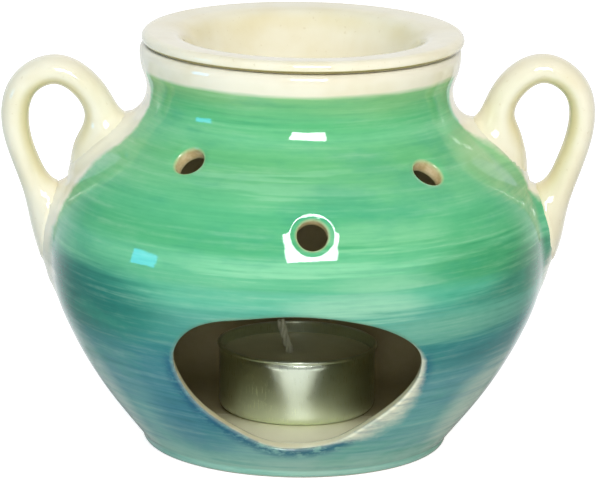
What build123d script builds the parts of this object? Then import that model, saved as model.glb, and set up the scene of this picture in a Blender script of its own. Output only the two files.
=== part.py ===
from build123d import *
import math
import os

# Essential oil burner: a thrown and glazed pot with two pulled handles, a loose
# dish for water and oil on its rim, and a tealight on its floor.
# Millimetres. The axis of the pot is Z, it stands on Z = 0, its window faces -Y
# and its handles point along X.

# The pot: heights and outer radii of its turned wall
FOOT_RADIUS = 36.1
FOOT_HEIGHT = 2.4
FOOT_EDGE_RADIUS = 1.4
FOOT_STEP = 0.5
BELLY_RADIUS = 58.6
BELLY_HEIGHT = 46.8
RIM_HEIGHT = 95.6
NECK_RADIUS = 35.6
NECK_BELOW_RIM = 10.8
NECK_HEIGHT = RIM_HEIGHT - NECK_BELOW_RIM
BEAD_RADIUS = 37.9
BEAD_BELOW_RIM = 3.4
BEAD_HEIGHT = RIM_HEIGHT - BEAD_BELOW_RIM
RIM_BORE_RADIUS = 32.2
RIM_INNER_ROUND = 1.3
WALL = 4.0
FLOOR_HEIGHT = 7.2
FLOOR_FLAT_RADIUS = 30.5

# Where the arcs of the wall meet: shares of the change in radius and of the climb
# from the belly down to the foot, from the belly up to the neck, from the neck to
# the bead, and from the bead in to the bore at the height of the rim
LOWER_WALL_SHARES = ((0.136, 0.333), (0.717, 0.823))
SHOULDER_SHARES = ((0.061, 0.237), (0.601, 0.681), (0.907, 0.862))
NECK_SHARES = (0.478, 0.486)
BEAD_SHARES = (0.037, 0.556)

# The window, cut straight through the wall along Y
WINDOW_WIDTH = 56.3
WINDOW_BOTTOM = 8.9
WINDOW_TOP = 44.4
WINDOW_CENTRE_X = 0.5
WINDOW_EDGE_ROUND = 1.0
WINDOW_SHARES = (
    (-0.07, 1.0),
    (0.42, 0.963),
    (0.815, 0.845),
    (0.985, 0.7),
    (0.985, 0.545),
    (0.815, 0.34),
    (0.513, 0.149),
    (0.3, 0.046),
    (0.05, 0.0),
    (-0.17, 0.005),
    (-0.46, 0.11),
    (-0.744, 0.265),
    (-0.95, 0.487),
    (-1.0, 0.679),
    (-0.865, 0.862),
    (-0.464, 0.965),
)

# The vents, bored square to the wall: the angle round the pot from the front
# towards +X, and the height of each one's middle as a share of the climb from the
# belly to the neck
VENT_DIAMETER = 7.0
VENT_EDGE_ROUND = 0.6
FRONT_VENT_SHARE = 0.41579
LEFT_VENT_SHARE = 0.73158
RIGHT_VENT_SHARE = 0.68421
VENT_PLACES = (
    (3.6, FRONT_VENT_SHARE),
    (-36.3, LEFT_VENT_SHARE),
    (41.7, RIGHT_VENT_SHARE),
    (180.0, FRONT_VENT_SHARE),
    (180.0 - 41.7, LEFT_VENT_SHARE),
    (180.0 + 36.3, RIGHT_VENT_SHARE),
)

# The handles: an oval strip along a path in the plane Y = 0. Each station has
# its place as shares of the reach from the axis and of the height from the
# lower root to the crown, then its thickness and its width as shares
HANDLE_THICKNESS = 7.2
HANDLE_WIDTH = 9.8
LEFT_HANDLE_PAST_BELLY = 8.2
LEFT_ROOT_BELOW_BELLY = 0.1
LEFT_CROWN_BELOW_RIM = 7.3
LEFT_HANDLE_REACH = BELLY_RADIUS + LEFT_HANDLE_PAST_BELLY
LEFT_HANDLE_LOW = BELLY_HEIGHT - LEFT_ROOT_BELOW_BELLY
LEFT_HANDLE_CROWN = RIM_HEIGHT - LEFT_CROWN_BELOW_RIM
RIGHT_HANDLE_PAST_BELLY = 7.7
RIGHT_ROOT_ABOVE_BELLY = 2.8
RIGHT_CROWN_BELOW_RIM = 5.2
RIGHT_HANDLE_REACH = BELLY_RADIUS + RIGHT_HANDLE_PAST_BELLY
RIGHT_HANDLE_LOW = BELLY_HEIGHT + RIGHT_ROOT_ABOVE_BELLY
RIGHT_HANDLE_CROWN = RIM_HEIGHT - RIGHT_CROWN_BELOW_RIM
LEFT_HANDLE_SHARES = (
    (0.82, -0.101, 0.83, 1.05),
    (0.844, 0.0, 1.04, 1.25),
    (0.888, 0.154, 1.02, 1.18),
    (0.924, 0.323, 0.93, 1.04),
    (0.969, 0.504, 0.86, 0.98),
    (1.0, 0.718, 0.91, 0.98),
    (0.966, 0.915, 0.94, 1.0),
    (0.857, 1.0, 0.96, 1.03),
    (0.75, 0.908, 0.965, 1.06),
    (0.698, 0.755, 1.1, 1.13),
    (0.695, 0.651, 1.38, 1.3),
    (0.698, 0.572, 1.69, 1.45),
    (0.692, 0.464, 1.53, 1.4),
)
RIGHT_HANDLE_SHARES = (
    (0.824, -0.1, 0.97, 1.05),
    (0.854, 0.0, 1.22, 1.25),
    (0.888, 0.132, 1.13, 1.18),
    (0.925, 0.292, 0.965, 1.04),
    (0.973, 0.498, 0.88, 0.98),
    (1.0, 0.686, 0.86, 0.98),
    (0.98, 0.88, 0.87, 1.0),
    (0.858, 1.0, 0.945, 1.03),
    (0.742, 0.882, 0.98, 1.06),
    (0.703, 0.708, 1.15, 1.14),
    (0.707, 0.598, 1.53, 1.32),
    (0.706, 0.515, 1.78, 1.45),
    (0.7, 0.402, 1.55, 1.4),
)

# The oil dish: a wide soft flange over a shallow round dish, loose in the neck
DISH_FLANGE_RADIUS = 37.8
DISH_EDGE_THICKNESS = 2.7
DISH_CREST_RADIUS = 33.2
DISH_CREST_RISE = 2.7
DISH_THROAT_RADIUS = 27.5
DISH_THROAT_DROP = 2.5
DISH_DEPTH = 18.0
DISH_FLOOR_FLAT_RADIUS = 13.5
DISH_WALL = 3.4
DISH_FIT_CLEARANCE = 1.15
DISH_OFF_CENTRE_SHARE = 0.5
DISH_BASE_FLAT_SHARE = 0.42
# Where the arcs of the dish meet: shares of the way from its edge to its crest, from
# its crest to its throat, from its throat to the flat of its floor, and from the flat
# of its base to its shank
DISH_EDGE_SHARES = (0.34, 1.14)
DISH_CREST_SHARES = (0.29, 0.01)
DISH_BOWL_SHARES = (0.48, 0.70)
DISH_BASE_SHARES = (0.38, 0.042)

# The tealight: foil cup, wax, wick and the pressed tab that holds the wick
CUP_RADIUS = 19.0
CUP_BASE_RADIUS = 18.5
CUP_HEIGHT = 16.1
CUP_HEEL_ROUND = 2.2
CUP_WALL = 0.3
CUP_BEAD_RADIUS = 0.45
CUP_OFF_CENTRE = 0.4
WAX_LEVEL = 13.4
TAB_RADIUS = 6.3
TAB_THICKNESS = 0.4
TAB_NECK_RADIUS = 1.65
TAB_NECK_HEIGHT = 4.0
WICK_RADIUS = 1.05
WICK_TIP_HEIGHT = 21.3
WICK_LEAN_X = -4.1
WICK_LEAN_Y = 0.6

# How far a cutting tool runs past what it cuts
OVERRUN = 6.0
# How many times a search halves its range
HALVINGS = 40


UP = Vector(0, 1)
DOWN = Vector(0, -1)
OUT = Vector(1, 0)


def on_profile(radius, height):
    """A point of a profile, drawn flat: radius or X across, height up."""
    return Vector(radius, height)


def between(start, end, radius_share, height_share):
    """The point at these shares of the way from one profile point to another."""
    return on_profile(
        start.X + (end.X - start.X) * radius_share,
        start.Y + (end.Y - start.Y) * height_share,
    )


def arc_chain(points, tangent):
    """Arcs through the points, each one leaving along the end of the one before."""
    arcs = []
    for start, end in zip(points, points[1:]):
        arcs.append(TangentArc(start, end, tangent=tangent))
        tangent = arcs[-1].tangent_at(1)
    return arcs


def crown_arc(start, along, height):
    """The arc that rounds over from a place and direction until it is level, at a height."""
    radius = (height - start.Y) / (1 + along.X)
    end = on_profile(start.X - radius * along.Y, height)
    return TangentArc(start, end, tangent=along)


def lower_wall():
    """The arcs of the outer wall from the belly down to the top of the foot."""
    belly = on_profile(BELLY_RADIUS, BELLY_HEIGHT)
    foot = on_profile(FOOT_RADIUS + FOOT_STEP, FOOT_HEIGHT)
    middle = [between(belly, foot, *shares) for shares in LOWER_WALL_SHARES]
    return arc_chain([belly, *middle, foot], DOWN)


def upper_wall():
    """The arcs of the outer wall from the belly up over the shoulder, neck and bead."""
    belly = on_profile(BELLY_RADIUS, BELLY_HEIGHT)
    neck = on_profile(NECK_RADIUS, NECK_HEIGHT)
    bead = on_profile(BEAD_RADIUS, BEAD_HEIGHT)
    bore = on_profile(RIM_BORE_RADIUS, RIM_HEIGHT)
    points = [belly]
    points += [between(belly, neck, *shares) for shares in SHOULDER_SHARES]
    points += [between(neck, bead, *NECK_SHARES), between(bead, bore, *BEAD_SHARES)]
    arcs = arc_chain(points, UP)
    return arcs + [crown_arc(points[-1], arcs[-1].tangent_at(1), RIM_HEIGHT)]


def moved_in(arc, share, side):
    """A point one wall thickness in from an arc: to its left at side 1, to its right at -1."""
    point = arc.position_at(share)
    along = arc.tangent_at(share)
    return on_profile(point.X - side * WALL * along.Y, point.Y + side * WALL * along.X)


def inner_arcs(outer_arcs, side):
    """The arcs that run one wall thickness inside a chain of outer arcs."""
    points = [moved_in(outer_arcs[0], 0, side)]
    points += [moved_in(arc, 1, side) for arc in outer_arcs]
    return arc_chain(points, outer_arcs[0].tangent_at(0))


def outer_wall():
    """The whole outer line of the pot, from its foot to the top of its rim."""
    foot_low = on_profile(FOOT_RADIUS - FOOT_EDGE_RADIUS, 0)
    foot_side = on_profile(FOOT_RADIUS, FOOT_EDGE_RADIUS)
    foot_high = on_profile(FOOT_RADIUS, FOOT_HEIGHT)
    wall_start = on_profile(FOOT_RADIUS + FOOT_STEP, FOOT_HEIGHT)
    foot = [
        RadiusArc(foot_low, foot_side, -FOOT_EDGE_RADIUS),
        Line(foot_side, foot_high),
        Line(foot_high, wall_start),
    ]
    return foot + lower_wall() + upper_wall()


def inner_wall():
    """The inner line of the pot, from the flat of its floor up to the bore of its rim."""
    floor_edge = on_profile(FLOOR_FLAT_RADIUS, FLOOR_HEIGHT)
    rim_low = on_profile(RIM_BORE_RADIUS, RIM_HEIGHT - RIM_INNER_ROUND)
    lower = inner_arcs(lower_wall()[:-1], -1)
    upper = inner_arcs(upper_wall()[: len(SHOULDER_SHARES)], 1)
    low = lower[-1]
    high = upper[-1]
    corner = Spline(floor_edge, low.position_at(1), tangents=(OUT, -low.tangent_at(1)))
    throat = Spline(high.position_at(1), rim_low, tangents=(high.tangent_at(1), UP))
    return [corner, *lower, *upper, throat]


def turned(edges):
    """A solid turned about Z from a closed line of flat profile edges."""
    return revolve(Plane.XZ * make_face(edges), Axis.Z)


def pot_envelope():
    """The pot's outer shape as one full solid, which the handles are fitted to."""
    low = on_profile(FOOT_RADIUS - FOOT_EDGE_RADIUS, 0)
    closing = [
        Line(upper_wall()[-1].position_at(1), on_profile(0, RIM_HEIGHT)),
        Line(on_profile(0, RIM_HEIGHT), on_profile(0, 0)),
        Line(on_profile(0, 0), low),
    ]
    return turned(outer_wall() + closing)


def pot_shell():
    """The thrown pot before its window and vents are cut."""
    low = on_profile(FOOT_RADIUS - FOOT_EDGE_RADIUS, 0)
    land = upper_wall()[-1].position_at(1)
    bore_top = on_profile(RIM_BORE_RADIUS + RIM_INNER_ROUND, RIM_HEIGHT)
    bore_low = on_profile(RIM_BORE_RADIUS, RIM_HEIGHT - RIM_INNER_ROUND)
    rim = [
        Line(land, bore_top),
        RadiusArc(bore_top, bore_low, -RIM_INNER_ROUND),
    ]
    floor = [
        Line(on_profile(FLOOR_FLAT_RADIUS, FLOOR_HEIGHT), on_profile(0, FLOOR_HEIGHT)),
        Line(on_profile(0, FLOOR_HEIGHT), on_profile(0, 0)),
        Line(on_profile(0, 0), low),
    ]
    return turned(outer_wall() + rim + inner_wall() + floor)


def window_tool():
    """A bar along -Y with the window's outline, from the axis to past the wall."""
    height = WINDOW_TOP - WINDOW_BOTTOM
    points = [
        on_profile(
            WINDOW_CENTRE_X + WINDOW_WIDTH / 2 * across,
            WINDOW_BOTTOM + height * up,
        )
        for across, up in WINDOW_SHARES
    ]
    outline = Plane.XZ * make_face(Wire([Spline(*points, periodic=True)]))
    return extrude(outline, BELLY_RADIUS + OVERRUN, dir=(0, -1, 0))


def wall_at(height):
    """The place and the upward direction of the outer wall at a height above the belly."""
    arc = [arc for arc in upper_wall() if arc.position_at(0).Y <= height][-1]
    low, high = 0.0, 1.0
    for _ in range(HALVINGS):
        middle = (low + high) / 2
        if arc.position_at(middle).Y < height:
            low = middle
        else:
            high = middle
    return arc.position_at(low), arc.tangent_at(low)


def vent_axis(angle, share):
    """The plane on the outer wall, square to it, in the middle of a vent."""
    height = BELLY_HEIGHT + (NECK_HEIGHT - BELLY_HEIGHT) * share
    point, along = wall_at(height)
    turn = math.radians(angle)
    out = (math.sin(turn), -math.cos(turn))
    origin = Vector(point.X * out[0], point.X * out[1], point.Y)
    normal = Vector(along.Y * out[0], along.Y * out[1], -along.X)
    return Plane(origin=origin, z_dir=normal)


def vent_tool(angle, share):
    """The drill for one vent, from just outside the wall to just inside it."""
    length = WALL + 2 * OVERRUN
    drill = Cylinder(VENT_DIAMETER / 2, length)
    return vent_axis(angle, share) * Pos(0, 0, -WALL / 2) * drill


def window_edges(body):
    """The edges round the window, outside and inside: the curved ones wholly in front of the axis."""
    curved = [edge for edge in body.edges() if edge.geom_type != GeomType.LINE]
    return [edge for edge in curved if edge.bounding_box().max.Y < 0]


def vent_outer_edges(body, angle, share):
    """The edges of one vent on the outer wall."""
    middle = vent_axis(angle, share).origin
    reach = VENT_DIAMETER / 2 + VENT_EDGE_ROUND
    found = []
    for edge in body.edges():
        ends = (edge.position_at(0), edge.position_at(1))
        if max((end - middle).length for end in ends) < reach:
            found.append(edge)
    return found


def make_burner_body():
    """The pot with its window and vents, their edges softened by the glaze."""
    body = pot_shell() - window_tool()
    body = fillet(window_edges(body), WINDOW_EDGE_ROUND)
    for angle, share in VENT_PLACES:
        body -= vent_tool(angle, share)
        body = fillet(vent_outer_edges(body, angle, share), VENT_EDGE_ROUND)
    return body


def handle_stations(side, reach, low, crown, shares):
    """Each station of a handle: centre, thickness and width."""
    stations = []
    for across, up, thick, wide in shares:
        centre = Vector(side * reach * across, 0, low + (crown - low) * up)
        stations.append((centre, HANDLE_THICKNESS * thick, HANDLE_WIDTH * wide))
    return stations


def make_handle(side, reach, low, crown, shares):
    """A pulled handle, lofted through its oval sections and fitted to the pot."""
    stations = handle_stations(side, reach, low, crown, shares)
    centres = [station[0] for station in stations]
    sections = []
    for index, (centre, thickness, width) in enumerate(stations):
        before = centres[max(index - 1, 0)]
        after = centres[min(index + 1, len(centres) - 1)]
        across = Plane(origin=centre, x_dir=(0, 1, 0), z_dir=after - before)
        sections.append(across * Ellipse(width / 2, thickness / 2))
    strip = loft(sections)
    return strip - pot_envelope()


def dish_profile():
    """The closed outline of the oil dish, in arcs."""
    seat = RIM_HEIGHT
    shank_radius = NECK_RADIUS - WALL - DISH_FIT_CLEARANCE
    crest_height = seat + DISH_CREST_RISE
    base_height = crest_height - DISH_DEPTH - DISH_WALL
    edge_low = on_profile(DISH_FLANGE_RADIUS - DISH_EDGE_THICKNESS / 2, seat)
    edge_side = on_profile(DISH_FLANGE_RADIUS, seat + DISH_EDGE_THICKNESS / 2)
    crest = on_profile(DISH_CREST_RADIUS, crest_height)
    throat = on_profile(DISH_THROAT_RADIUS, crest_height - DISH_THROAT_DROP)
    dish_floor = on_profile(DISH_FLOOR_FLAT_RADIUS, crest_height - DISH_DEPTH)
    top = [edge_side, between(edge_side, crest, *DISH_EDGE_SHARES)]
    top += [between(crest, throat, *DISH_CREST_SHARES), throat]
    top += [between(throat, dish_floor, *DISH_BOWL_SHARES), dish_floor]
    base_edge = on_profile(shank_radius * DISH_BASE_FLAT_SHARE, base_height)
    shank = on_profile(shank_radius, seat - DISH_WALL)
    collar = on_profile(shank_radius, seat)
    under = [base_edge, between(base_edge, shank, *DISH_BASE_SHARES), shank]
    return [
        RadiusArc(edge_low, edge_side, -DISH_EDGE_THICKNESS / 2),
        *arc_chain(top, UP),
        Line(dish_floor, on_profile(0, dish_floor.Y)),
        Line(on_profile(0, dish_floor.Y), on_profile(0, base_height)),
        Line(on_profile(0, base_height), base_edge),
        *arc_chain(under, OUT),
        Line(shank, collar),
        Line(collar, edge_low),
    ]


def make_oil_bowl():
    """The loose dish, resting on the rim a little off the pot's axis."""
    dish = turned(dish_profile())
    return Pos(DISH_FIT_CLEARANCE * DISH_OFF_CENTRE_SHARE, 0, 0) * dish


def cup_line(inset):
    """The cup's wall line from the axis to just under its bead, moved in by a distance."""
    base = FLOOR_HEIGHT + inset
    heel = CUP_HEEL_ROUND - inset
    heel_start = on_profile(CUP_BASE_RADIUS - CUP_HEEL_ROUND, base)
    heel_end = on_profile(CUP_BASE_RADIUS - inset, FLOOR_HEIGHT + CUP_HEEL_ROUND)
    top = on_profile(CUP_RADIUS - CUP_BEAD_RADIUS - inset, FLOOR_HEIGHT + CUP_HEIGHT - CUP_BEAD_RADIUS)
    return [
        Line(on_profile(0, base), heel_start),
        RadiusArc(heel_start, heel_end, -heel),
        Line(heel_end, top),
    ]


def make_candle_cup():
    """The pressed foil cup with its rolled top edge."""
    outer = cup_line(0)
    inner = cup_line(CUP_WALL)
    closing = [
        Line(outer[-1].position_at(1), inner[-1].position_at(1)),
        Line(inner[0].position_at(0), outer[0].position_at(0)),
    ]
    wall = turned(outer + inner + closing)
    bead_height = FLOOR_HEIGHT + CUP_HEIGHT - CUP_BEAD_RADIUS
    bead = Pos(0, 0, bead_height) * Torus(CUP_RADIUS - CUP_BEAD_RADIUS, CUP_BEAD_RADIUS)
    return Pos(CUP_OFF_CENTRE, 0, 0) * (wall + bead)


def make_wick_sustainer():
    """The pressed tab on the cup's floor, with the neck that grips the wick."""
    base = FLOOR_HEIGHT + CUP_WALL
    disc = Pos(0, 0, base + TAB_THICKNESS / 2) * Cylinder(TAB_RADIUS, TAB_THICKNESS)
    neck = Pos(0, 0, base + TAB_NECK_HEIGHT / 2) * Cylinder(TAB_NECK_RADIUS, TAB_NECK_HEIGHT)
    bore = Pos(0, 0, base + TAB_NECK_HEIGHT / 2) * Cylinder(WICK_RADIUS, TAB_NECK_HEIGHT + OVERRUN)
    return Pos(CUP_OFF_CENTRE, 0, 0) * (disc + neck - bore)


def make_candle_wick():
    """The cotton wick, upright in its tab and bent over to the left above the wax."""
    base = FLOOR_HEIGHT + CUP_WALL
    foot = Vector(0, 0, base)
    collar = Vector(0, 0, base + TAB_NECK_HEIGHT)
    tip = Vector(WICK_LEAN_X, WICK_LEAN_Y, FLOOR_HEIGHT + WICK_TIP_HEIGHT)
    path = Wire([Line(foot, collar), Spline(collar, tip, tangents=(Vector(0, 0, 1), tip - collar))])
    cord = sweep(Plane(origin=foot) * Circle(WICK_RADIUS), path=path)
    return Pos(CUP_OFF_CENTRE, 0, 0) * cord


def make_candle_wax():
    """The block of wax that fills the cup round the tab and the wick."""
    inner = cup_line(CUP_WALL)
    wall_top = inner[-1].position_at(1)
    level = FLOOR_HEIGHT + WAX_LEVEL
    block = turned(inner + [
        Line(wall_top, on_profile(0, wall_top.Y)),
        Line(on_profile(0, wall_top.Y), inner[0].position_at(0)),
    ])
    lid = Pos(0, 0, level + CUP_HEIGHT / 2) * Cylinder(CUP_RADIUS + OVERRUN, CUP_HEIGHT)
    block = Pos(CUP_OFF_CENTRE, 0, 0) * (block - lid)
    return block - make_wick_sustainer() - make_candle_wick()


def make_parts():
    """Every piece by its name."""
    return {
        "burner_body": make_burner_body(),
        "left_handle": make_handle(
            -1, LEFT_HANDLE_REACH, LEFT_HANDLE_LOW, LEFT_HANDLE_CROWN, LEFT_HANDLE_SHARES
        ),
        "right_handle": make_handle(
            1, RIGHT_HANDLE_REACH, RIGHT_HANDLE_LOW, RIGHT_HANDLE_CROWN, RIGHT_HANDLE_SHARES
        ),
        "oil_bowl": make_oil_bowl(),
        "candle_cup": make_candle_cup(),
        "candle_wax": make_candle_wax(),
        "candle_wick": make_candle_wick(),
        "wick_sustainer": make_wick_sustainer(),
    }


os.makedirs("parts", exist_ok=True)
for name, shape in make_parts().items():
    export_step(shape, f"parts/{name}.step")
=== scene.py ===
"""Essential oil burner: a brush-glazed pot with pulled handles, a loose dish and a tealight.

Sizes in the classes are millimetres and repeat the part's own dimensions. Meshes are
built in millimetres and scaled to metres when they become objects.
"""

import logging
import math
from dataclasses import dataclass, field
from enum import Enum

import bmesh
import bpy
import numpy as np
from mathutils import Matrix, Vector


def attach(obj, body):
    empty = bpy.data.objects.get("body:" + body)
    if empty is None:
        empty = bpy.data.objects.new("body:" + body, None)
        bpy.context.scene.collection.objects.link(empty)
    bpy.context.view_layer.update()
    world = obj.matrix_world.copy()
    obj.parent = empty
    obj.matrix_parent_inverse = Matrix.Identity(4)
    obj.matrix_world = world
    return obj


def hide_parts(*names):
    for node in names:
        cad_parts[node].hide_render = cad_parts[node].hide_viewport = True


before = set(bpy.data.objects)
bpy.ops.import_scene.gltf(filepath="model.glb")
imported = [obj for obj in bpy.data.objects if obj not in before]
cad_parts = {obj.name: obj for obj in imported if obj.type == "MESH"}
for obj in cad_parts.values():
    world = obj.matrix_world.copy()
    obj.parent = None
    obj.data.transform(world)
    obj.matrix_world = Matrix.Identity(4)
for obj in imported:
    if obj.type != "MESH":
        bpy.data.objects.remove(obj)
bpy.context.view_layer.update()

LOG = logging.getLogger("oil burner")
MM = 0.001
Pair = tuple[float, float]
Colour = tuple[float, float, float]
Triple = tuple[float, float, float]
TURN = 2 * math.pi
# How near points merge, in metres, and what counts as nothing
MERGE_REACH = 1e-7
NEGLIGIBLE = 1e-6
# The longest step along a turned line, and how far off a direction is read
LINE_STEP = 0.2
NORMAL_REACH = 0.3
# How places are moved along a line until they lie on a wall
DROP_ROUNDS = 12
DROP_PROBE = 0.01
DROP_STRIDE = 3.0
LEAST_SLOPE = 0.05
# The window_reach of all that is away from the window
FAR = 20.0
# How far out and how wide a handle's root is looked for, and the window
HANDLE_ZONE = (20.0, 24.0)
WINDOW_ZONE = (50.0, 60.0)
# How often a fillet is drawn nearer, and how many places are measured at once
MELT_ROUNDS = 10
CHUNK = 4000
STRAND_SIDES = 12
# What the points of the inner face carry, at a hole's edge and away from it
INSIDE_VALUES = {"inside": (1.0, 1.0), "window_reach": (FAR, FAR)}


class Side(Enum):
    """A side of the pot, as the sign of X."""

    LEFT = -1
    RIGHT = 1


def between(start: Pair, end: Pair, share: Pair) -> Pair:
    """The profile point at these shares of the way from one point to another."""
    return (
        start[0] + (end[0] - start[0]) * share[0],
        start[1] + (end[1] - start[1]) * share[1],
    )


def tangent_arcs(points: list[Pair], tangent: Pair, step: float) -> tuple[np.ndarray, Pair]:
    """Arcs through the points, each leaving along the end of the one before.

    Args:
        points: radius and height of each joint between two arcs.
        tangent: the direction in which the first arc leaves.
        step: the longest distance between two points of the line.

    Returns:
        The points of the line, and the direction in which it ends.
    """
    line = [np.array(points[0], float)]
    along = np.array(tangent, float)
    along /= np.linalg.norm(along)
    for start, end in zip(points, points[1:]):
        start = np.array(start, float)
        chord = np.array(end, float) - start
        across = np.array([-along[1], along[0]])
        turn = 2 * math.atan2(chord @ across, chord @ along)
        bend = 2 * (chord @ across) / (chord @ chord)
        count = max(2, math.ceil(np.linalg.norm(chord) / step))
        for index in range(1, count + 1):
            part = turn * index / count
            if abs(bend) < NEGLIGIBLE:
                line.append(start + chord * index / count)
            else:
                line.append(start + (along * math.sin(part) + across * (1 - math.cos(part))) / bend)
        along = along * math.cos(turn) + across * math.sin(turn)
    return np.array(line), (along[0], along[1])


def eased(
    start: Pair | Triple,
    end: Pair | Triple,
    leave: Pair | Triple,
    arrive: Pair | Triple,
    count: int,
) -> np.ndarray:
    """A smooth line between two points with given directions at its ends."""
    first, last = np.array(start, float), np.array(end, float)
    reach = np.linalg.norm(last - first)
    share = np.linspace(0, 1, count)[:, None]
    leave_part = (share**3 - 2 * share**2 + share) * reach * np.array(leave)
    arrive_part = (share**3 - share**2) * reach * np.array(arrive)
    rise = 3 * share**2 - 2 * share**3
    return first * (1 - rise) + last * rise + leave_part + arrive_part


def quarter(start: Pair, end: Pair, leave: Pair, count: int) -> np.ndarray:
    """The arc that leaves a profile point in a direction and ends at another point."""
    line, _ = tangent_arcs([start, end], leave, math.dist(start, end) / count)
    return line


def smooth_line(stations: np.ndarray, count: int, closed: bool = False) -> np.ndarray:
    """Points along the cubic spline through some stations.

    Args:
        stations: one row for each station; its first two values are its place.
        count: how many points come back.
        closed: whether the line runs back into its first station.

    Returns:
        The points, one row each, with as many values as a station has.
    """
    rows = np.vstack([stations, stations[:1]]) if closed else np.asarray(stations, float)
    gaps = np.linalg.norm(np.diff(rows[:, :2], axis=0), axis=1)
    knots = np.concatenate([[0], np.cumsum(gaps)])
    last = len(rows) - 1
    system = np.zeros((last + 1, last + 1))
    known = np.zeros_like(rows)
    slopes = np.diff(rows, axis=0) / gaps[:, None]
    for index in range(1, last):
        system[index, index - 1 : index + 2] = (
            gaps[index - 1],
            2 * (gaps[index - 1] + gaps[index]),
            gaps[index],
        )
        known[index] = 6 * (slopes[index] - slopes[index - 1])
    system[0, 0] = 1
    system[last, last] = 1
    if closed:
        system[0, last] = -1
        system[last, 0] = 2 * gaps[0]
        system[last, 1] = gaps[0]
        system[last, last - 1] = gaps[-1]
        system[last, last] = 2 * gaps[-1]
        known[last] = 6 * (slopes[0] - slopes[-1])
    bends = np.linalg.solve(system, known)
    places = np.linspace(0, knots[-1], count, endpoint=not closed)
    piece = np.clip(np.searchsorted(knots, places, side="right") - 1, 0, last - 1)
    gap = gaps[piece]
    left = ((knots[piece + 1] - places) / gap)[:, None]
    right = 1 - left
    bend = (left**3 - left) * bends[piece] + (right**3 - right) * bends[piece + 1]
    return left * rows[piece] + right * rows[piece + 1] + bend * (gap[:, None] ** 2) / 6


def blended(first: np.ndarray, second: np.ndarray, reach: float) -> np.ndarray:
    """The smooth union of two distances, rounded over within a reach."""
    overlap = np.maximum(reach - np.abs(first - second), 0) / reach
    return np.minimum(first, second) - overlap**2 * reach / 4


class Skin:
    """The points, faces and point values of a mesh while it is put together."""

    def __init__(self, *values: str) -> None:
        self.points: list[np.ndarray] = []
        self.faces: list[tuple[int, ...]] = []
        self.values: dict[str, list[np.ndarray]] = {name: [] for name in values}
        self.count = 0

    def add(self, points: np.ndarray, **values: float | np.ndarray) -> np.ndarray:
        """Adds points with their values.

        Args:
            points: their places in millimetres, one row each.
            values: what each point carries, as one number or one for each point.

        Returns:
            The index of each point.
        """
        size = len(points)
        self.points.append(np.asarray(points, float))
        for name, held in self.values.items():
            held.append(np.broadcast_to(np.asarray(values.get(name, 0.0), float), (size,)))
        first = self.count
        self.count += size
        return np.arange(first, first + size)

    def bridge(
        self, lower: np.ndarray, upper: np.ndarray, keep: np.ndarray | None = None
    ) -> None:
        """Joins two closed rings of the same length by quads, except where keep is false."""
        following_lower = np.roll(lower, -1)
        following_upper = np.roll(upper, -1)
        quads = np.stack([lower, following_lower, following_upper, upper], 1)
        if keep is not None:
            quads = quads[keep]
        self.faces += [tuple(quad) for quad in quads.tolist()]

    def cap(self, ring: np.ndarray, centre: int) -> None:
        """Closes a ring with triangles to one point."""
        pairs = zip(ring.tolist(), np.roll(ring, -1).tolist())
        self.faces += [(first, second, int(centre)) for first, second in pairs]

    def finish(self, name: str) -> bpy.types.Object:
        """Turns what was gathered into a smooth closed object in metres."""
        mesh = bpy.data.meshes.new(name)
        mesh.from_pydata((np.vstack(self.points) * MM).tolist(), [], self.faces)
        for value, held in self.values.items():
            layer = mesh.attributes.new(value, "FLOAT", "POINT")
            layer.data.foreach_set("value", np.concatenate(held).astype(np.float32))
        piece = bpy.data.objects.new(name, mesh)
        bpy.context.scene.collection.objects.link(piece)
        return closed_up(piece)


def closed_up(piece: bpy.types.Object) -> bpy.types.Object:
    """Merges doubled points, turns the faces outwards and shades them smooth."""
    shape = bmesh.new()
    shape.from_mesh(piece.data)
    bmesh.ops.remove_doubles(shape, verts=shape.verts, dist=MERGE_REACH)
    bmesh.ops.dissolve_degenerate(shape, edges=shape.edges, dist=MERGE_REACH)
    bmesh.ops.recalc_face_normals(shape, faces=shape.faces)
    for face in shape.faces:
        face.smooth = True
    shape.to_mesh(piece.data)
    shape.free()
    return piece


def settle(
    piece: bpy.types.Object, body: str, slot: str, material: bpy.types.Material, *nodes: str
) -> bpy.types.Object:
    """Gives a finished piece its material and its body, and hides the nodes it stands for."""
    piece.data.materials.clear()
    piece.data.materials.append(material)
    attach(piece, body)
    if nodes:
        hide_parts(*nodes)
    LOG.info("%s: %d faces on %s", piece.name, len(piece.data.polygons), body)
    return piece


@dataclass(frozen=True)
class Grain:
    """A noise pattern.

    Attributes:
        stretch: its waves in a millimetre along X, Y and Z.
        reach: how far it swings from end to end, where it is used about 0.
        detail: how many finer layers are added.
        roughness: how strong the finer layers are.
    """

    stretch: Triple
    reach: float = 1.0
    detail: float = 2.0
    roughness: float = 0.5


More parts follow.
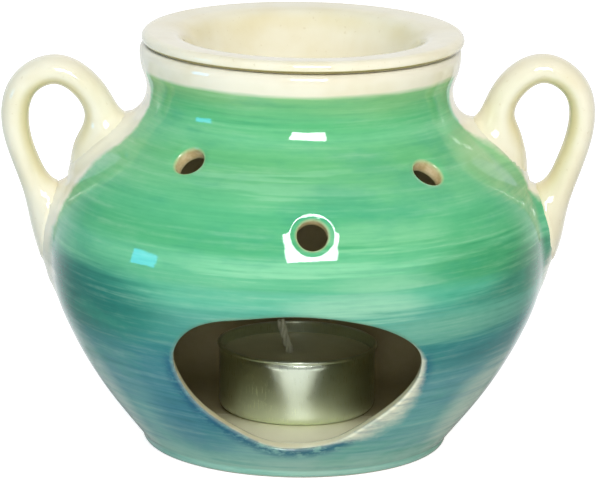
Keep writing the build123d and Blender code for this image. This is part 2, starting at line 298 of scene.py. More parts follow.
class Nodes:
    """A node tree, with short calls for what the finishes, shapes and world share."""

    def __init__(self, tree: bpy.types.NodeTree) -> None:
        self.nodes = tree.nodes
        self.links = tree.links
        self.nodes.clear()

    def node(self, kind: str, **settings: object) -> bpy.types.Node:
        """Adds a node and sets its properties."""
        node = self.nodes.new(kind)
        for name, value in settings.items():
            setattr(node, name, value)
        return node

    def put(self, given: object, socket: bpy.types.NodeSocket) -> None:
        """Links an output to a socket, or writes a plain value into it."""
        if isinstance(given, bpy.types.NodeSocket):
            self.links.new(given, socket)
        elif isinstance(given, tuple) and socket.type == "RGBA":
            socket.default_value = (*given[:3], 1.0)
        else:
            socket.default_value = given

    def maths(self, kind: str, *given: object) -> bpy.types.NodeSocket:
        """A Math node of one kind."""
        node = self.node("ShaderNodeMath", operation=kind)
        for value, socket in zip(given, node.inputs):
            self.put(value, socket)
        return node.outputs[0]

    def ranged(
        self, value: object, limits: Pair, ends: Pair = (0.0, 1.0), kind: str = "SMOOTHSTEP"
    ) -> bpy.types.NodeSocket:
        """Runs between two ends while a value runs between two limits."""
        node = self.node("ShaderNodeMapRange", interpolation_type=kind)
        names = ("Value", "From Min", "From Max", "To Min", "To Max")
        for name, given in zip(names, (value, *limits, *ends)):
            self.put(given, node.inputs[name])
        return node.outputs[0]


class Graph(Nodes):
    """A material's nodes round one shader, with places in millimetres."""

    def __init__(self, name: str) -> None:
        self.material = bpy.data.materials.new(name)
        self.material.use_nodes = True
        super().__init__(self.material.node_tree)
        self.shader = self.node("ShaderNodeBsdfPrincipled")
        output = self.node("ShaderNodeOutputMaterial")
        self.put(self.shader.outputs[0], output.inputs[0])
        place = self.node("ShaderNodeTexCoord").outputs["Object"]
        scaled = self.node("ShaderNodeVectorMath", operation="SCALE")
        self.put(place, scaled.inputs[0])
        self.put(1 / MM, scaled.inputs["Scale"])
        self.scaled = scaled.outputs[0]
        split = self.node("ShaderNodeSeparateXYZ")
        self.put(self.scaled, split.inputs[0])
        self.x, self.y, self.z = split.outputs

    def add(self, first: object, second: object) -> bpy.types.NodeSocket:
        """The sum of two values."""
        return self.maths("ADD", first, second)

    def times(self, first: object, second: object) -> bpy.types.NodeSocket:
        """The product of two values."""
        return self.maths("MULTIPLY", first, second)

    def minus(self, first: object, second: object) -> bpy.types.NodeSocket:
        """The first value less the second."""
        return self.maths("SUBTRACT", first, second)

    def line(self, value: object, slope: float, start: object) -> bpy.types.NodeSocket:
        """A value times a slope, plus a start."""
        return self.add(self.times(value, slope), start)

    def stretched(self, first: object, second: object) -> bpy.types.NodeSocket:
        """The product of two vectors or colours, channel by channel."""
        node = self.node("ShaderNodeVectorMath", operation="MULTIPLY")
        self.put(first, node.inputs[0])
        self.put(second, node.inputs[1])
        return node.outputs[0]

    def noise(self, grain: Grain) -> bpy.types.NodeSocket:
        """A noise pattern about 0.5."""
        node = self.node("ShaderNodeTexNoise")
        self.put(self.stretched(self.scaled, grain.stretch), node.inputs["Vector"])
        node.inputs["Scale"].default_value = 1.0
        node.inputs["Detail"].default_value = grain.detail
        node.inputs["Roughness"].default_value = grain.roughness
        return node.outputs[0]

    def swing(self, grain: Grain) -> bpy.types.NodeSocket:
        """A noise pattern about 0, at most half its reach to either side."""
        return self.times(self.minus(self.noise(grain), 0.5), grain.reach)

    def step(self, value: object, low: object, high: object) -> bpy.types.NodeSocket:
        """0 below one limit, 1 above the other and smooth between them."""
        return self.ranged(value, (low, high))

    def mix(self, share: object, first: object, second: object) -> bpy.types.NodeSocket:
        """A colour between two colours."""
        node = self.node("ShaderNodeMix", data_type="RGBA")
        for given, socket in zip((share, first, second), (0, 6, 7)):
            self.put(given, node.inputs[socket])
        return node.outputs[2]

    def ramp(self, value: object, stops: tuple[tuple[float, Colour], ...]) -> bpy.types.NodeSocket:
        """A colour ramp with written stops."""
        node = self.node("ShaderNodeValToRGB")
        self.put(value, node.inputs[0])
        elements = node.color_ramp.elements
        while len(elements) < len(stops):
            elements.new(0.5)
        for element, (place, colour) in zip(elements, stops):
            element.position = place
            element.color = (*colour, 1.0)
        return node.outputs[0]

    def curve(self, value: object, points: tuple[Pair, ...]) -> bpy.types.NodeSocket:
        """A curve through given points over a value from 0 to 1."""
        node = self.node("ShaderNodeFloatCurve")
        self.put(value, node.inputs["Value"])
        line = node.mapping.curves[0]
        while len(line.points) < len(points):
            line.points.new(0.5, 0.5)
        for point, place in zip(line.points, points):
            point.location = place
        node.mapping.update()
        return node.outputs[0]

    def carried(self, name: str) -> bpy.types.NodeSocket:
        """A value that each point of the mesh carries."""
        return self.node("ShaderNodeAttribute", attribute_name=name).outputs["Fac"]

    def bump(self, height: object, distance: float) -> None:
        """Raises the shader's surface by a height, up to a distance in millimetres."""
        node = self.node("ShaderNodeBump")
        node.inputs["Strength"].default_value = 1.0
        node.inputs["Distance"].default_value = distance * MM
        self.put(height, node.inputs["Height"])
        self.put(node.outputs[0], self.shader.inputs["Normal"])

    def set(self, **given: object) -> None:
        """Sets sockets of the shader; an underscore in a name stands for a space."""
        for name, value in given.items():
            self.put(value, self.shader.inputs[name.replace("_", " ")])


def shade(red: int, green: int, blue: int) -> Colour:
    """A colour given as it shows on a screen, 0 to 255, made linear."""

    def linear(value: int) -> float:
        """One channel made linear."""
        part = value / 255
        return part / 12.92 if part <= 0.04045 else ((part + 0.055) / 1.055) ** 2.4

    return (linear(red), linear(green), linear(blue))


@dataclass(frozen=True)
class Stroke:
    """One broad brush mark: its middle round and up the pot, its reach and its colour."""

    angle: float
    height: float
    angle_reach: float
    height_reach: float
    colour: Colour
    strength: float
    tilt: float = 0.0
    ragged: float = 1.0


@dataclass(frozen=True)
class PaintedGlaze:
    """The pot's brushed green to blue glaze over cream and bare below, with painted shade inside and
    painted light on the window's sill and the floor behind it.
    """

    name: str = "painted_glaze"
    pot_height: float = 95.6
    roughness: float = 0.045
    cream: Colour = shade(238, 233, 211)
    buff: Colour = shade(230, 222, 192)
    washed: Colour = shade(204, 236, 206)
    cobalt: Colour = shade(24, 108, 142)
    teal: Colour = shade(56, 160, 128)
    bands: tuple[tuple[float, Colour], ...] = (
        (2.0, shade(150, 194, 174)),
        (8.0, shade(122, 174, 166)),
        (15.0, shade(105, 168, 161)),
        (24.0, shade(90, 150, 153)),
        (33.0, shade(56, 136, 131)),
        (39.0, shade(60, 148, 132)),
        (43.5, shade(75, 162, 139)),
        (48.0, shade(88, 182, 147)),
        (52.0, shade(96, 184, 138)),
        (56.0, shade(112, 198, 148)),
        (60.0, shade(84, 180, 122)),
        (66.0, shade(94, 188, 132)),
        (71.0, shade(114, 196, 138)),
        (76.0, shade(104, 188, 124)),
        (80.0, shade(116, 198, 142)),
        (85.0, shade(90, 184, 120)),
        (90.0, shade(134, 194, 128)),
    )
    strokes: tuple[Stroke, ...] = (
        Stroke(-63, 42, 27, 8.0, shade(0, 114, 100), 0.95, tilt=0.04),
        Stroke(54, 53.5, 22, 4.0, shade(46, 150, 92), 0.75),
        Stroke(69, 48.0, 16, 4.6, shade(30, 122, 84), 0.8),
        Stroke(62, 45.5, 20, 2.6, shade(36, 124, 100), 0.7),
        Stroke(46, 31.6, 22, 2.8, shade(36, 118, 120), 0.6),
        Stroke(42, 39.5, 24, 3.6, shade(122, 182, 152), 0.5),
        Stroke(14, 46.5, 15, 2.6, shade(154, 210, 174), 0.7),
        Stroke(2, 55, 26, 1.6, shade(150, 220, 172), 0.6),
        Stroke(20, 51.5, 12, 1.8, shade(150, 212, 170), 0.5),
        Stroke(-28, 15, 15, 8.0, shade(32, 116, 138), 0.7, tilt=0.1),
        Stroke(-35, 26, 9, 8.0, shade(48, 128, 140), 0.5),
        # The two pale marks low at the sides are partly thinner paint and partly painted reflection:
        # the pale sheen along the pot's outline there
        Stroke(66, 13, 15, 12.0, shade(204, 222, 198), 0.76, tilt=-0.1, ragged=2.4),
        Stroke(-70, 14, 12, 16.0, shade(208, 224, 208), 0.76, ragged=2.0),
        Stroke(72, 70, 13, 6.5, shade(170, 208, 150), 0.5, tilt=-0.1),
        Stroke(-10, 73.4, 26, 0.9, shade(150, 214, 168), 0.4, tilt=0.02),
        Stroke(-2, 70.6, 26, 0.9, shade(150, 214, 168), 0.35, tilt=-0.02),
        Stroke(16, 3.6, 34, 1.8, shade(160, 192, 176), 0.6),
        Stroke(20, 62, 16, 2.6, shade(154, 222, 170), 0.42),
    )
    drift: Grain = Grain((0.02, 0.02, 0.04), 7.0)
    brush: Grain = Grain((0.022, 0.022, 0.3), 6.0)
    fine: Grain = Grain((0.035, 0.035, 0.85), 1.0, 4.0, 0.52)
    hair: Grain = Grain((0.06, 0.06, 2.2))
    grit: Grain = Grain((0.3, 0.3, 1.1), 1.0, 3.0, 0.6)
    cloud: Grain = Grain((0.06, 0.06, 0.12), 1.0, 3.0, 0.55)
    patch: Grain = Grain((0.035, 0.035, 0.1), 1.0, 4.0, 0.62)
    strip_edge: Grain = Grain((0.1, 0.1, 0.3), 5.0, 3.0, 0.6)
    strip_brush: Grain = Grain((0.05, 0.05, 0.8), 10.0, 3.0, 0.6)
    wipe_edge: Grain = Grain((0.22, 0.22, 0.4), 8.0, 3.0, 0.6)
    wipe_wear: Grain = Grain((0.14, 0.14, 0.8), 1.0, 3.0, 0.6)
    speckle: Grain = Grain((0.5, 0.5, 0.5), 1.0, 3.0, 0.6)
    cream_cloud: Grain = Grain((0.07, 0.07, 0.1), 1.0, 3.0)
    rim_wave: Grain = Grain((0.06, 0.06, 0.5), 1.6, 3.0)
    blots: Grain = Grain((0.4, 0.4, 0.8), 1.0, 4.0, 0.7)
    mottle: Grain = Grain((0.12, 0.12, 0.12))
    ripple: Grain = Grain((0.05, 0.05, 0.35))
    # Heights, and for the floor depths too, between which each part comes in
    cool_heights: Pair = (44.0, 30.0)
    pale_heights: Pair = (42.0, 52.0)
    strong_heights: Pair = (52.0, 42.0)
    strip_heights: Pair = (52.0, 40.0)
    rim_heights: Pair = (89.6, 91.1)
    blot_heights: Pair = (38.0, 28.0)
    sill_heights: Pair = (50.0, 46.0)
    arch_heights: Pair = (30.0, 40.0)
    lit_floor_heights: Pair = (13.0, 7.8)
    lit_floor_depths: Pair = (-2.0, -20.0)
    bare_heights: Pair = (0.6, 0.2)
    # How much of each pattern goes into the streaks, and how much of each colour shows
    hair_share: float = 0.25
    brush_share: float = 0.045
    cloud_share: float = 0.35
    grit_share: float = 0.3
    cobalt_share: float = 0.3
    teal_share: float = 0.36
    washed_share: Pair = (0.12, 0.22)
    strong_share: Pair = (0.3, 0.6)
    deepened: Triple = (0.5, 0.74, 0.74)
    cool_brush: float = 0.2
    # Values of the patterns between which each colour comes in
    cool_limits: Pair = (0.0, 0.45)
    teal_limits: Pair = (0.5, 0.7)
    light_limits: Pair = (-0.05, 0.45)
    deep_limits: Pair = (0.05, -0.4)
    worn_limits: Pair = (0.3, 0.6)
    buff_limits: Pair = (0.4, 0.75)
    blot_limits: Pair = (0.34, 0.56)
    bore_limits: Pair = (0.35, 0.65)
    mark_brush: float = 0.4
    mark_fine: float = 7.0
    mark_edge: float = 2.1
    # The cream strips at the handles: half widths by height, both over strip_scale,
    # in degrees and millimetres
    left_strip: tuple[Pair, ...] = (
        (0, 0.08),
        (0.25, 0.08),
        (0.48, 0.1),
        (0.6, 0.13),
        (0.74, 0.17),
        (0.84, 0.16),
        (1, 0.2),
    )
    right_strip: tuple[Pair, ...] = (
        (0, 0.07),
        (0.3, 0.06),
        (0.48, 0.05),
        (0.62, 0.05),
        (0.72, 0.1),
        (0.84, 0.14),
        (1, 0.2),
    )
    strip_scale: float = 100.0
    strip_soft: float = 2.0
    strip_thinned: float = 7.0
    strip_covered: float = 0.25
    # The wiped edge of the window: its middle, and its width by the share of a turn
    window_middle: Pair = (0.5, 27.0)
    wiped: tuple[Pair, ...] = (
        (0.0, 0.03),
        (0.06, 0.03),
        (0.14, 0.03),
        (0.22, 0.03),
        (0.3, 0.03),
        (0.36, 0.28),
        (0.42, 0.52),
        (0.45, 0.46),
        (0.49, 0.24),
        (0.53, 0.12),
        (0.6, 0.0),
        (0.88, 0.0),
        (1.0, 0.03),
    )
    wipe_ragged: float = 0.06
    wipe_soft: Pair = (4.6, 0.1)
    wipe_width: float = 6.2
    wipe_worn: Pair = (0.4, 0.54)
    wiped_clay: Colour = shade(236, 236, 208)
    blot: Colour = shade(8, 90, 120)
    blot_reach: Pair = (3.6, 0.9)
    blot_share: float = 0.8
    bore: tuple[Colour, Colour] = (shade(232, 214, 168), shade(214, 190, 138))
    # Painted light on the window's sill: a cream paler than the glaze's own
    lit_sill: tuple[Colour, Colour] = (shade(252, 248, 208), shade(240, 230, 178))
    # Painted shade inside the pot: its cream glaze darkened to olive buff
    shaded_lining: tuple[Colour, Colour] = (shade(176, 166, 126), shade(190, 180, 142))
    # Painted light on the inside floor near the window, near white
    floor: Colour = shade(254, 252, 218)
    foot: Colour = shade(214, 206, 188)
    rough_spread: float = 0.03
    floor_rough: Pair = (0.3, 0.16)
    bare_rough: float = 0.6
    ripple_depth: float = 0.06

    def streaked(self, graph: Graph, around: object, height: object) -> bpy.types.NodeSocket:
        """The brushed colour: bands up the pot, broad marks and fine bristle streaks.

        Args:
            graph: the material's nodes.
            around: the angle from the front in degrees.
            height: the height in millimetres.

        Returns:
            The colour of the painted wall.
        """
        drift = graph.swing(self.drift)
        brush = graph.swing(self.brush)
        fine = graph.swing(self.fine)
        hair = graph.swing(self.hair)
        grit = graph.swing(self.grit)
        cloud = graph.swing(self.cloud)
        moved = graph.add(graph.add(height, drift), brush)
        stops = tuple((place / self.pot_height, colour) for place, colour in self.bands)
        colour = graph.ramp(graph.times(moved, 1 / self.pot_height), stops)
        for stroke in self.strokes:
            mark = self.brush_mark(graph, stroke, around, height, brush, fine)
            colour = graph.mix(mark, colour, stroke.colour)
        soft = graph.line(brush, self.brush_share, graph.times(cloud, self.cloud_share))
        wash = graph.add(graph.line(hair, self.hair_share, fine), soft)
        wash = graph.line(grit, self.grit_share, wash)
        low = graph.step(height, *self.cool_heights)
        cool = graph.step(graph.line(brush, self.cool_brush, hair), *self.cool_limits)
        cool = graph.times(low, cool)
        colour = graph.mix(graph.times(cool, self.cobalt_share), colour, self.cobalt)
        patch = graph.step(graph.noise(self.patch), *self.teal_limits)
        colour = graph.mix(graph.times(patch, self.teal_share), colour, self.teal)
        pale = graph.line(graph.step(height, *self.pale_heights), *self.washed_share)
        light = graph.mix(pale, colour, self.washed)
        deep = graph.stretched(colour, self.deepened)
        strong = graph.line(graph.step(height, *self.strong_heights), *self.strong_share)
        for limits, shown in ((self.light_limits, light), (self.deep_limits, deep)):
            colour = graph.mix(graph.times(graph.step(wash, *limits), strong), colour, shown)
        return colour

    def brush_mark(
        self,
        graph: Graph,
        stroke: Stroke,
        around: object,
        height: object,
        brush: object,
        fine: object,
    ) -> bpy.types.NodeSocket:
        """How much of one broad mark covers each place."""
        away = graph.minus(around, stroke.angle)
        lift = graph.minus(graph.minus(height, stroke.height), graph.times(away, stroke.tilt))
        lift = graph.line(brush, self.mark_brush * stroke.ragged, lift)
        lift = graph.line(fine, self.mark_fine * stroke.ragged, lift)
        across = graph.times(away, 1 / stroke.angle_reach)
        up = graph.times(lift, 1 / stroke.height_reach)
        far = graph.add(graph.times(across, across), graph.times(up, up))
        return graph.times(graph.step(far, self.mark_edge, 0.0), stroke.strength)

    def handle_strip(self, graph: Graph, around: object, height: object) -> bpy.types.NodeSocket:
        """Where the wall beside the handles is left cream."""
        share = graph.times(height, 1 / self.strip_scale)
        left = graph.curve(share, self.left_strip)
        right = graph.curve(share, self.right_strip)
        on_right = graph.step(graph.x, -1.0, 1.0)
        left = graph.times(left, graph.minus(1.0, on_right))
        width = graph.times(graph.add(left, graph.times(right, on_right)), self.strip_scale)
        low = graph.step(height, *self.strip_heights)
        ragged = graph.swing(self.strip_edge)
        ragged = graph.add(ragged, graph.times(graph.swing(self.strip_brush), low))
        off = graph.maths("ABSOLUTE", graph.minus(graph.maths("ABSOLUTE", around), 90.0))
        thinned = graph.minus(-self.strip_soft, graph.times(low, self.strip_thinned))
        bare = graph.step(graph.add(graph.minus(width, off), ragged), thinned, self.strip_soft)
        return graph.times(bare, graph.minus(1.0, graph.times(low, self.strip_covered)))

    def window_edge(self, graph: Graph) -> bpy.types.NodeSocket:
        """Where the edge of the window is wiped bare, widest at its lower right."""
        middle_x, middle_z = self.window_middle
        turn = graph.maths("ARCTAN2", graph.minus(graph.z, middle_z), graph.minus(graph.x, middle_x))
        width = graph.curve(graph.line(turn, 1 / TURN, 0.5), self.wiped)
        width = graph.maths("MAXIMUM", width, 0.0)
        ragged = graph.swing(self.wipe_edge)
        ragged = graph.times(ragged, graph.maths("MAXIMUM", width, self.wipe_ragged))
        reach = graph.add(graph.carried("window_reach"), ragged)
        soft = graph.line(width, *self.wipe_soft)
        inside = graph.minus(graph.times(width, self.wipe_width), reach)
        worn = graph.step(graph.noise(self.wipe_wear), *self.worn_limits)
        worn = graph.line(worn, *self.wipe_worn)
        return graph.times(graph.step(inside, graph.times(soft, -1.0), soft), worn)

    def dress(self) -> bpy.types.Material:
        """Builds the material."""
        graph = Graph(self.name)
        around = graph.maths("ARCTAN2", graph.x, graph.times(graph.y, -1.0))
        around = graph.times(around, 180 / math.pi)
        colour = self.streaked(graph, around, graph.z)
        speckle = graph.noise(self.speckle)
        clouds = graph.step(graph.noise(self.cream_cloud), *self.buff_limits)
        cream = graph.mix(clouds, self.cream, self.buff)
        colour = graph.mix(self.handle_strip(graph, around, graph.z), colour, cream)
        rim = graph.step(graph.add(graph.z, graph.swing(self.rim_wave)), *self.rim_heights)
        colour = graph.mix(rim, colour, cream)
        hugging = graph.step(graph.carried("window_reach"), *self.blot_reach)
        hugging = graph.times(hugging, graph.step(graph.z, *self.blot_heights))
        blot = graph.step(graph.noise(self.blots), *self.blot_limits)
        blot = graph.times(blot, self.blot_share)
        colour = graph.mix(graph.times(hugging, blot), colour, self.blot)
        colour = graph.mix(self.window_edge(graph), colour, self.wiped_clay)
        bore = graph.mix(graph.step(speckle, *self.bore_limits), *self.bore)
        # Painted light: the window's bore takes the pale sill colours, the vents' bores the clay
        # colours
        on_sill = graph.step(graph.z, *self.sill_heights)
        bore = graph.mix(on_sill, bore, graph.mix(speckle, *self.lit_sill))
        # Painted shade inside, and on the top of the window's bore under its arch
        shaded_lining = graph.mix(speckle, *self.shaded_lining)
        bore = graph.mix(graph.times(graph.step(graph.z, *self.arch_heights), on_sill), bore, shaded_lining)
        colour = graph.mix(graph.carried("cut"), colour, bore)
        # Painted pool of light on the floor near the window, over the painted shade of the inside
        floor = graph.step(graph.z, *self.lit_floor_heights)
        floor = graph.times(floor, graph.step(graph.y, *self.lit_floor_depths))
        shaded_lining = graph.mix(floor, shaded_lining, self.floor)
        colour = graph.mix(graph.carried("inside"), colour, shaded_lining)
        bare = graph.step(graph.z, *self.bare_heights)
        graph.set(Base_Color=graph.mix(bare, colour, self.foot), IOR=1.5)
        spread = self.rough_spread
        rough = graph.line(graph.noise(self.mottle), spread, self.roughness - spread / 2)
        satin = graph.times(graph.carried("inside"), graph.line(floor, *self.floor_rough))
        graph.set(Roughness=graph.add(rough, graph.line(bare, self.bare_rough, satin)))
        graph.bump(graph.noise(self.ripple), self.ripple_depth)
        return graph.material


@dataclass(frozen=True)
class CreamGlaze:
    """Clear glaze over pale clay, turned olive by pooled glaze and by painted shade."""

    name: str
    pale: Colour = shade(241, 236, 212)
    clouded: Colour = shade(235, 227, 195)
    # Painted shade: olive on the handles' inward sides and round the dish's throat, and a darker
    # painted shadow in the gap under the dish's flange
    pooled_shade: Colour = shade(228, 217, 170)
    gap_shadow: Colour = shade(140, 128, 78)
    speck: Colour = shade(200, 184, 136)
    cloud: Grain = Grain((0.09, 0.09, 0.09), 0.35, 3.0)
    specks: Grain = Grain((0.9, 0.9, 0.9))
    unevenness: Grain = Grain((0.12, 0.12, 0.12))
    cloud_limits: Pair = (0.35, 0.8)
    pooled_shade_limits: Pair = (0.25, 0.95)
    gap_shadow_limits: Pair = (1.1, 1.5)
    speck_limits: Pair = (0.67, 0.75)
    speck_share: float = 0.22
    roughness: float = 0.045
    rough_spread: float = 0.03
    bump_depth: float = 0.08

    def dress(self) -> bpy.types.Material:
        """Builds the material."""
        graph = Graph(self.name)
        soft = graph.noise(self.cloud)
        colour = graph.mix(graph.step(soft, *self.cloud_limits), self.pale, self.clouded)
        # The carried value marks pooled glaze and painted shade; it mixes in the olive painted shade
        # and, where highest, the painted gap shadow
        pool_and_shade = graph.line(graph.minus(soft, 0.5), self.cloud.reach, graph.carried("pool_and_shade"))
        colour = graph.mix(graph.step(pool_and_shade, *self.pooled_shade_limits), colour, self.pooled_shade)
        colour = graph.mix(graph.step(pool_and_shade, *self.gap_shadow_limits), colour, self.gap_shadow)
        specks = graph.step(graph.noise(self.specks), *self.speck_limits)
        specks = graph.times(specks, self.speck_share)
        graph.set(Base_Color=graph.mix(specks, colour, self.speck), IOR=1.5)
        spread = self.rough_spread
        graph.set(Roughness=graph.line(soft, spread, self.roughness - spread / 2))
        graph.bump(graph.noise(self.unevenness), self.bump_depth)
        return graph.material


@dataclass(frozen=True)
class GrainedFinish:
    """A finish of two near colours that one fine pattern mixes, dulls and raises.

    Attributes:
        name: the material's name.
        dark: the colour where the pattern is low.
        light: the colour where it is high.
        rough: how much the pattern adds to the roughness, and the roughness under it.
        depth: how far the pattern raises the surface, in millimetres.
        sockets: the shader's other sockets and their values.
        grain: the pattern.
    """

    name: str
    dark: Colour
    light: Colour
    rough: Pair
    depth: float
    sockets: tuple[tuple[str, float], ...]
    grain: Grain = Grain((1.0, 1.0, 1.0))

    def pattern(self, graph: Graph) -> bpy.types.NodeSocket:
        """The pattern, from 0 to 1."""
        return graph.noise(self.grain)

    def dress(self) -> bpy.types.Material:
        """Builds the material."""
        graph = Graph(self.name)
        grain = self.pattern(graph)
        graph.set(Base_Color=graph.mix(grain, self.dark, self.light), **dict(self.sockets))
        graph.set(Roughness=graph.line(grain, *self.rough))
        graph.bump(grain, self.depth)
        return graph.material


@dataclass(frozen=True)
class DrawnFoil(GrainedFinish):
    """Thin drawn aluminium with a satin skin and faint upright draw lines."""

    centre: float = 0.4
    lines_round: float = 30.0
    lines_up: float = 0.06
    detail: float = 3.0

    def pattern(self, graph: Graph) -> bpy.types.NodeSocket:
        """Upright lines round the cup's own axis."""
        turn = graph.maths("ARCTAN2", graph.minus(graph.x, self.centre), graph.y)
        place = graph.node("ShaderNodeCombineXYZ")
        graph.put(graph.times(turn, self.lines_round), place.inputs[0])
        graph.put(graph.times(graph.z, self.lines_up), place.inputs[1])
        lines = graph.node("ShaderNodeTexNoise")
        graph.put(place.outputs[0], lines.inputs["Vector"])
        lines.inputs["Detail"].default_value = self.detail
        return lines.outputs[0]


METAL = (("Metallic", 1.0),)
WAXY = (("IOR", 1.44),)
FOIL = DrawnFoil("foil", shade(222, 232, 212), shade(230, 240, 220), (0.04, 0.26), 0.002, METAL)
WAX = GrainedFinish(
    "wax",
    shade(192, 194, 154),
    shade(210, 212, 178),
    (0.15, 0.28),
    0.12,
    WAXY,
    Grain((0.25, 0.25, 0.25), 1.0, 4.0),
)
COTTON = GrainedFinish(
    "cotton",
    shade(176, 178, 146),
    shade(214, 216, 188),
    (0.2, 0.35),
    0.05,
    WAXY,
    Grain((3.0, 3.0, 1.2), 1.0, 3.0, 0.6),
)
TINPLATE = GrainedFinish(
    "tinned_tab",
    shade(170, 170, 166),
    shade(208, 208, 204),
    (0.2, 0.25),
    0.02,
    METAL,
    Grain((6.0, 0.5, 0.5), 1.0, 3.0),
)


class Tree(Nodes):
    """A Geometry Nodes tree with named inputs."""

    def __init__(self, name: str, kinds: dict[str, str]) -> None:
        self.group = bpy.data.node_groups.new(name, "GeometryNodeTree")
        super().__init__(self.group)
        face = self.group.interface
        for way in ("INPUT", "OUTPUT"):
            face.new_socket("Geometry", in_out=way, socket_type="NodeSocketGeometry")
        self.sockets = {
            asked: face.new_socket(asked, in_out="INPUT", socket_type=f"NodeSocket{kind}").identifier
            for asked, kind in kinds.items()
        }
        self.given = self.node("NodeGroupInput").outputs

    def fed(self, kind: str, inputs: dict[str | int, object], **settings: object) -> bpy.types.Node:
        """Adds a node, sets its properties and feeds its inputs."""
        node = self.node(kind, **settings)
        for socket, value in inputs.items():
            self.put(value, node.inputs[socket])
        return node

    def end(self, geometry: bpy.types.NodeSocket) -> None:
        """Ends the tree in smooth shading, Realize Instances and Set Material."""
        smooth = self.fed("GeometryNodeSetShadeSmooth", {"Geometry": geometry})
        real = self.fed("GeometryNodeRealizeInstances", {0: smooth.outputs[0]})
        inputs = {"Geometry": real.outputs[0], "Material": self.given["Material"]}
        dressed = self.fed("GeometryNodeSetMaterial", inputs)
        self.fed("NodeGroupOutput", {0: dressed.outputs[0]})

    def grow(self, name: str, points: np.ndarray, **given: object) -> bpy.types.Object:
        """Runs the tree on a line of points and keeps the result as a plain mesh.

        Args:
            name: the piece's name.
            points: the line in millimetres, one row each.
            given: a value for each named input.

        Returns:
            The piece, with no modifier left on it.
        """
        line = bpy.data.meshes.new(name + "_line")
        edges = [(index, index + 1) for index in range(len(points) - 1)]
        line.from_pydata((np.asarray(points) * MM).tolist(), edges, [])
        carrier = bpy.data.objects.new(name + "_line", line)
        bpy.context.scene.collection.objects.link(carrier)
        modifier = carrier.modifiers.new(name, "NODES")
        modifier.node_group = self.group
        for key, value in given.items():
            modifier[self.sockets[key]] = value
        bpy.context.view_layer.update()
        graph = bpy.context.evaluated_depsgraph_get()
        mesh = bpy.data.meshes.new_from_object(carrier.evaluated_get(graph))
        carrier.modifiers.remove(modifier)
        bpy.data.objects.remove(carrier)
        piece = bpy.data.objects.new(name, mesh)
        mesh.name = name
        bpy.context.scene.collection.objects.link(piece)
        return closed_up(piece)


def wheel_tree() -> Tree:
    """The potter's wheel: a tree that turns a profile about Z into a closed skin."""
    kinds = {"Profile Points": "Int", "Segments": "Int", "Offset X": "Float", "Material": "Material"}
    tree = Tree("wheel", kinds)
    given = tree.given
    rows = given["Profile Points"]
    columns = tree.maths("ADD", given["Segments"], 1.0)
    grid = tree.fed("GeometryNodeMeshGrid", {"Vertices X": columns, "Vertices Y": rows})
    index = tree.node("GeometryNodeInputIndex").outputs[0]
    column = tree.maths("FLOOR", tree.maths("DIVIDE", tree.maths("ADD", index, 0.5), rows))
    row = tree.maths("SUBTRACT", index, tree.maths("MULTIPLY", column, rows))
    place = tree.node("GeometryNodeInputPosition").outputs[0]
    sample = tree.node("GeometryNodeSampleIndex", data_type="FLOAT_VECTOR", domain="POINT")
    for value, socket in ((given["Geometry"], "Geometry"), (place, "Value"), (row, "Index")):
        tree.put(value, sample.inputs[socket])
    turn = tree.maths("MULTIPLY", tree.maths("DIVIDE", column, given["Segments"]), TURN)
    inputs = {"Vector": sample.outputs["Value"], "Angle": turn}
    rotate = tree.fed("ShaderNodeVectorRotate", inputs, rotation_type="Z_AXIS")
    shift = tree.fed("ShaderNodeCombineXYZ", {"X": given["Offset X"]})
    inputs = {0: rotate.outputs[0], 1: shift.outputs[0]}
    moved = tree.fed("ShaderNodeVectorMath", inputs, operation="ADD")
    inputs = {"Geometry": grid.outputs["Mesh"], "Position": moved.outputs[0]}
    placed = tree.fed("GeometryNodeSetPosition", inputs)
    inputs = {"Geometry": placed.outputs[0], "Distance": MERGE_REACH}
    tree.end(tree.fed("GeometryNodeMergeByDistance", inputs).outputs[0])
    return tree


def twist_tree() -> Tree:
    """A tree that twists strands about a path."""
    kinds = {"Strands": "Int", "Turns": "Float", "Lay Radius": "Float"}
    tree = Tree("twist", kinds | {"Strand Radius": "Float", "Material": "Material"})
    given = tree.given
    path = tree.fed("GeometryNodeMeshToCurve", {0: given["Geometry"]})
    inputs = {"Geometry": path.outputs[0], "Amount": given["Strands"]}
    copies = tree.fed("GeometryNodeDuplicateElements", inputs, domain="SPLINE")
    copy = tree.maths("DIVIDE", copies.outputs["Duplicate Index"], given["Strands"])
    along = tree.node("GeometryNodeSplineParameter").outputs["Factor"]
    turns = tree.maths("ADD", copy, tree.maths("MULTIPLY", along, given["Turns"]))
    normal = tree.node("GeometryNodeInputNormal").outputs[0]
    tangent = tree.node("GeometryNodeInputTangent").outputs[0]
    inputs = {"Vector": normal, "Axis": tangent, "Angle": tree.maths("MULTIPLY", turns, TURN)}
    side = tree.fed("ShaderNodeVectorRotate", inputs, rotation_type="AXIS_ANGLE")
    inputs = {0: side.outputs[0], "Scale": given["Lay Radius"]}
    lay = tree.fed("ShaderNodeVectorMath", inputs, operation="SCALE")
    inputs = {"Geometry": copies.outputs["Geometry"], "Offset": lay.outputs[0]}
    laid = tree.fed("GeometryNodeSetPosition", inputs)
    inputs = {"Resolution": STRAND_SIDES, "Radius": given["Strand Radius"]}
    ring = tree.fed("GeometryNodeCurvePrimitiveCircle", inputs)
    inputs = {"Curve": laid.outputs[0], "Profile Curve": ring.outputs[0], "Fill Caps": True}
    tree.end(tree.fed("GeometryNodeCurveToMesh", inputs).outputs[0])
    return tree


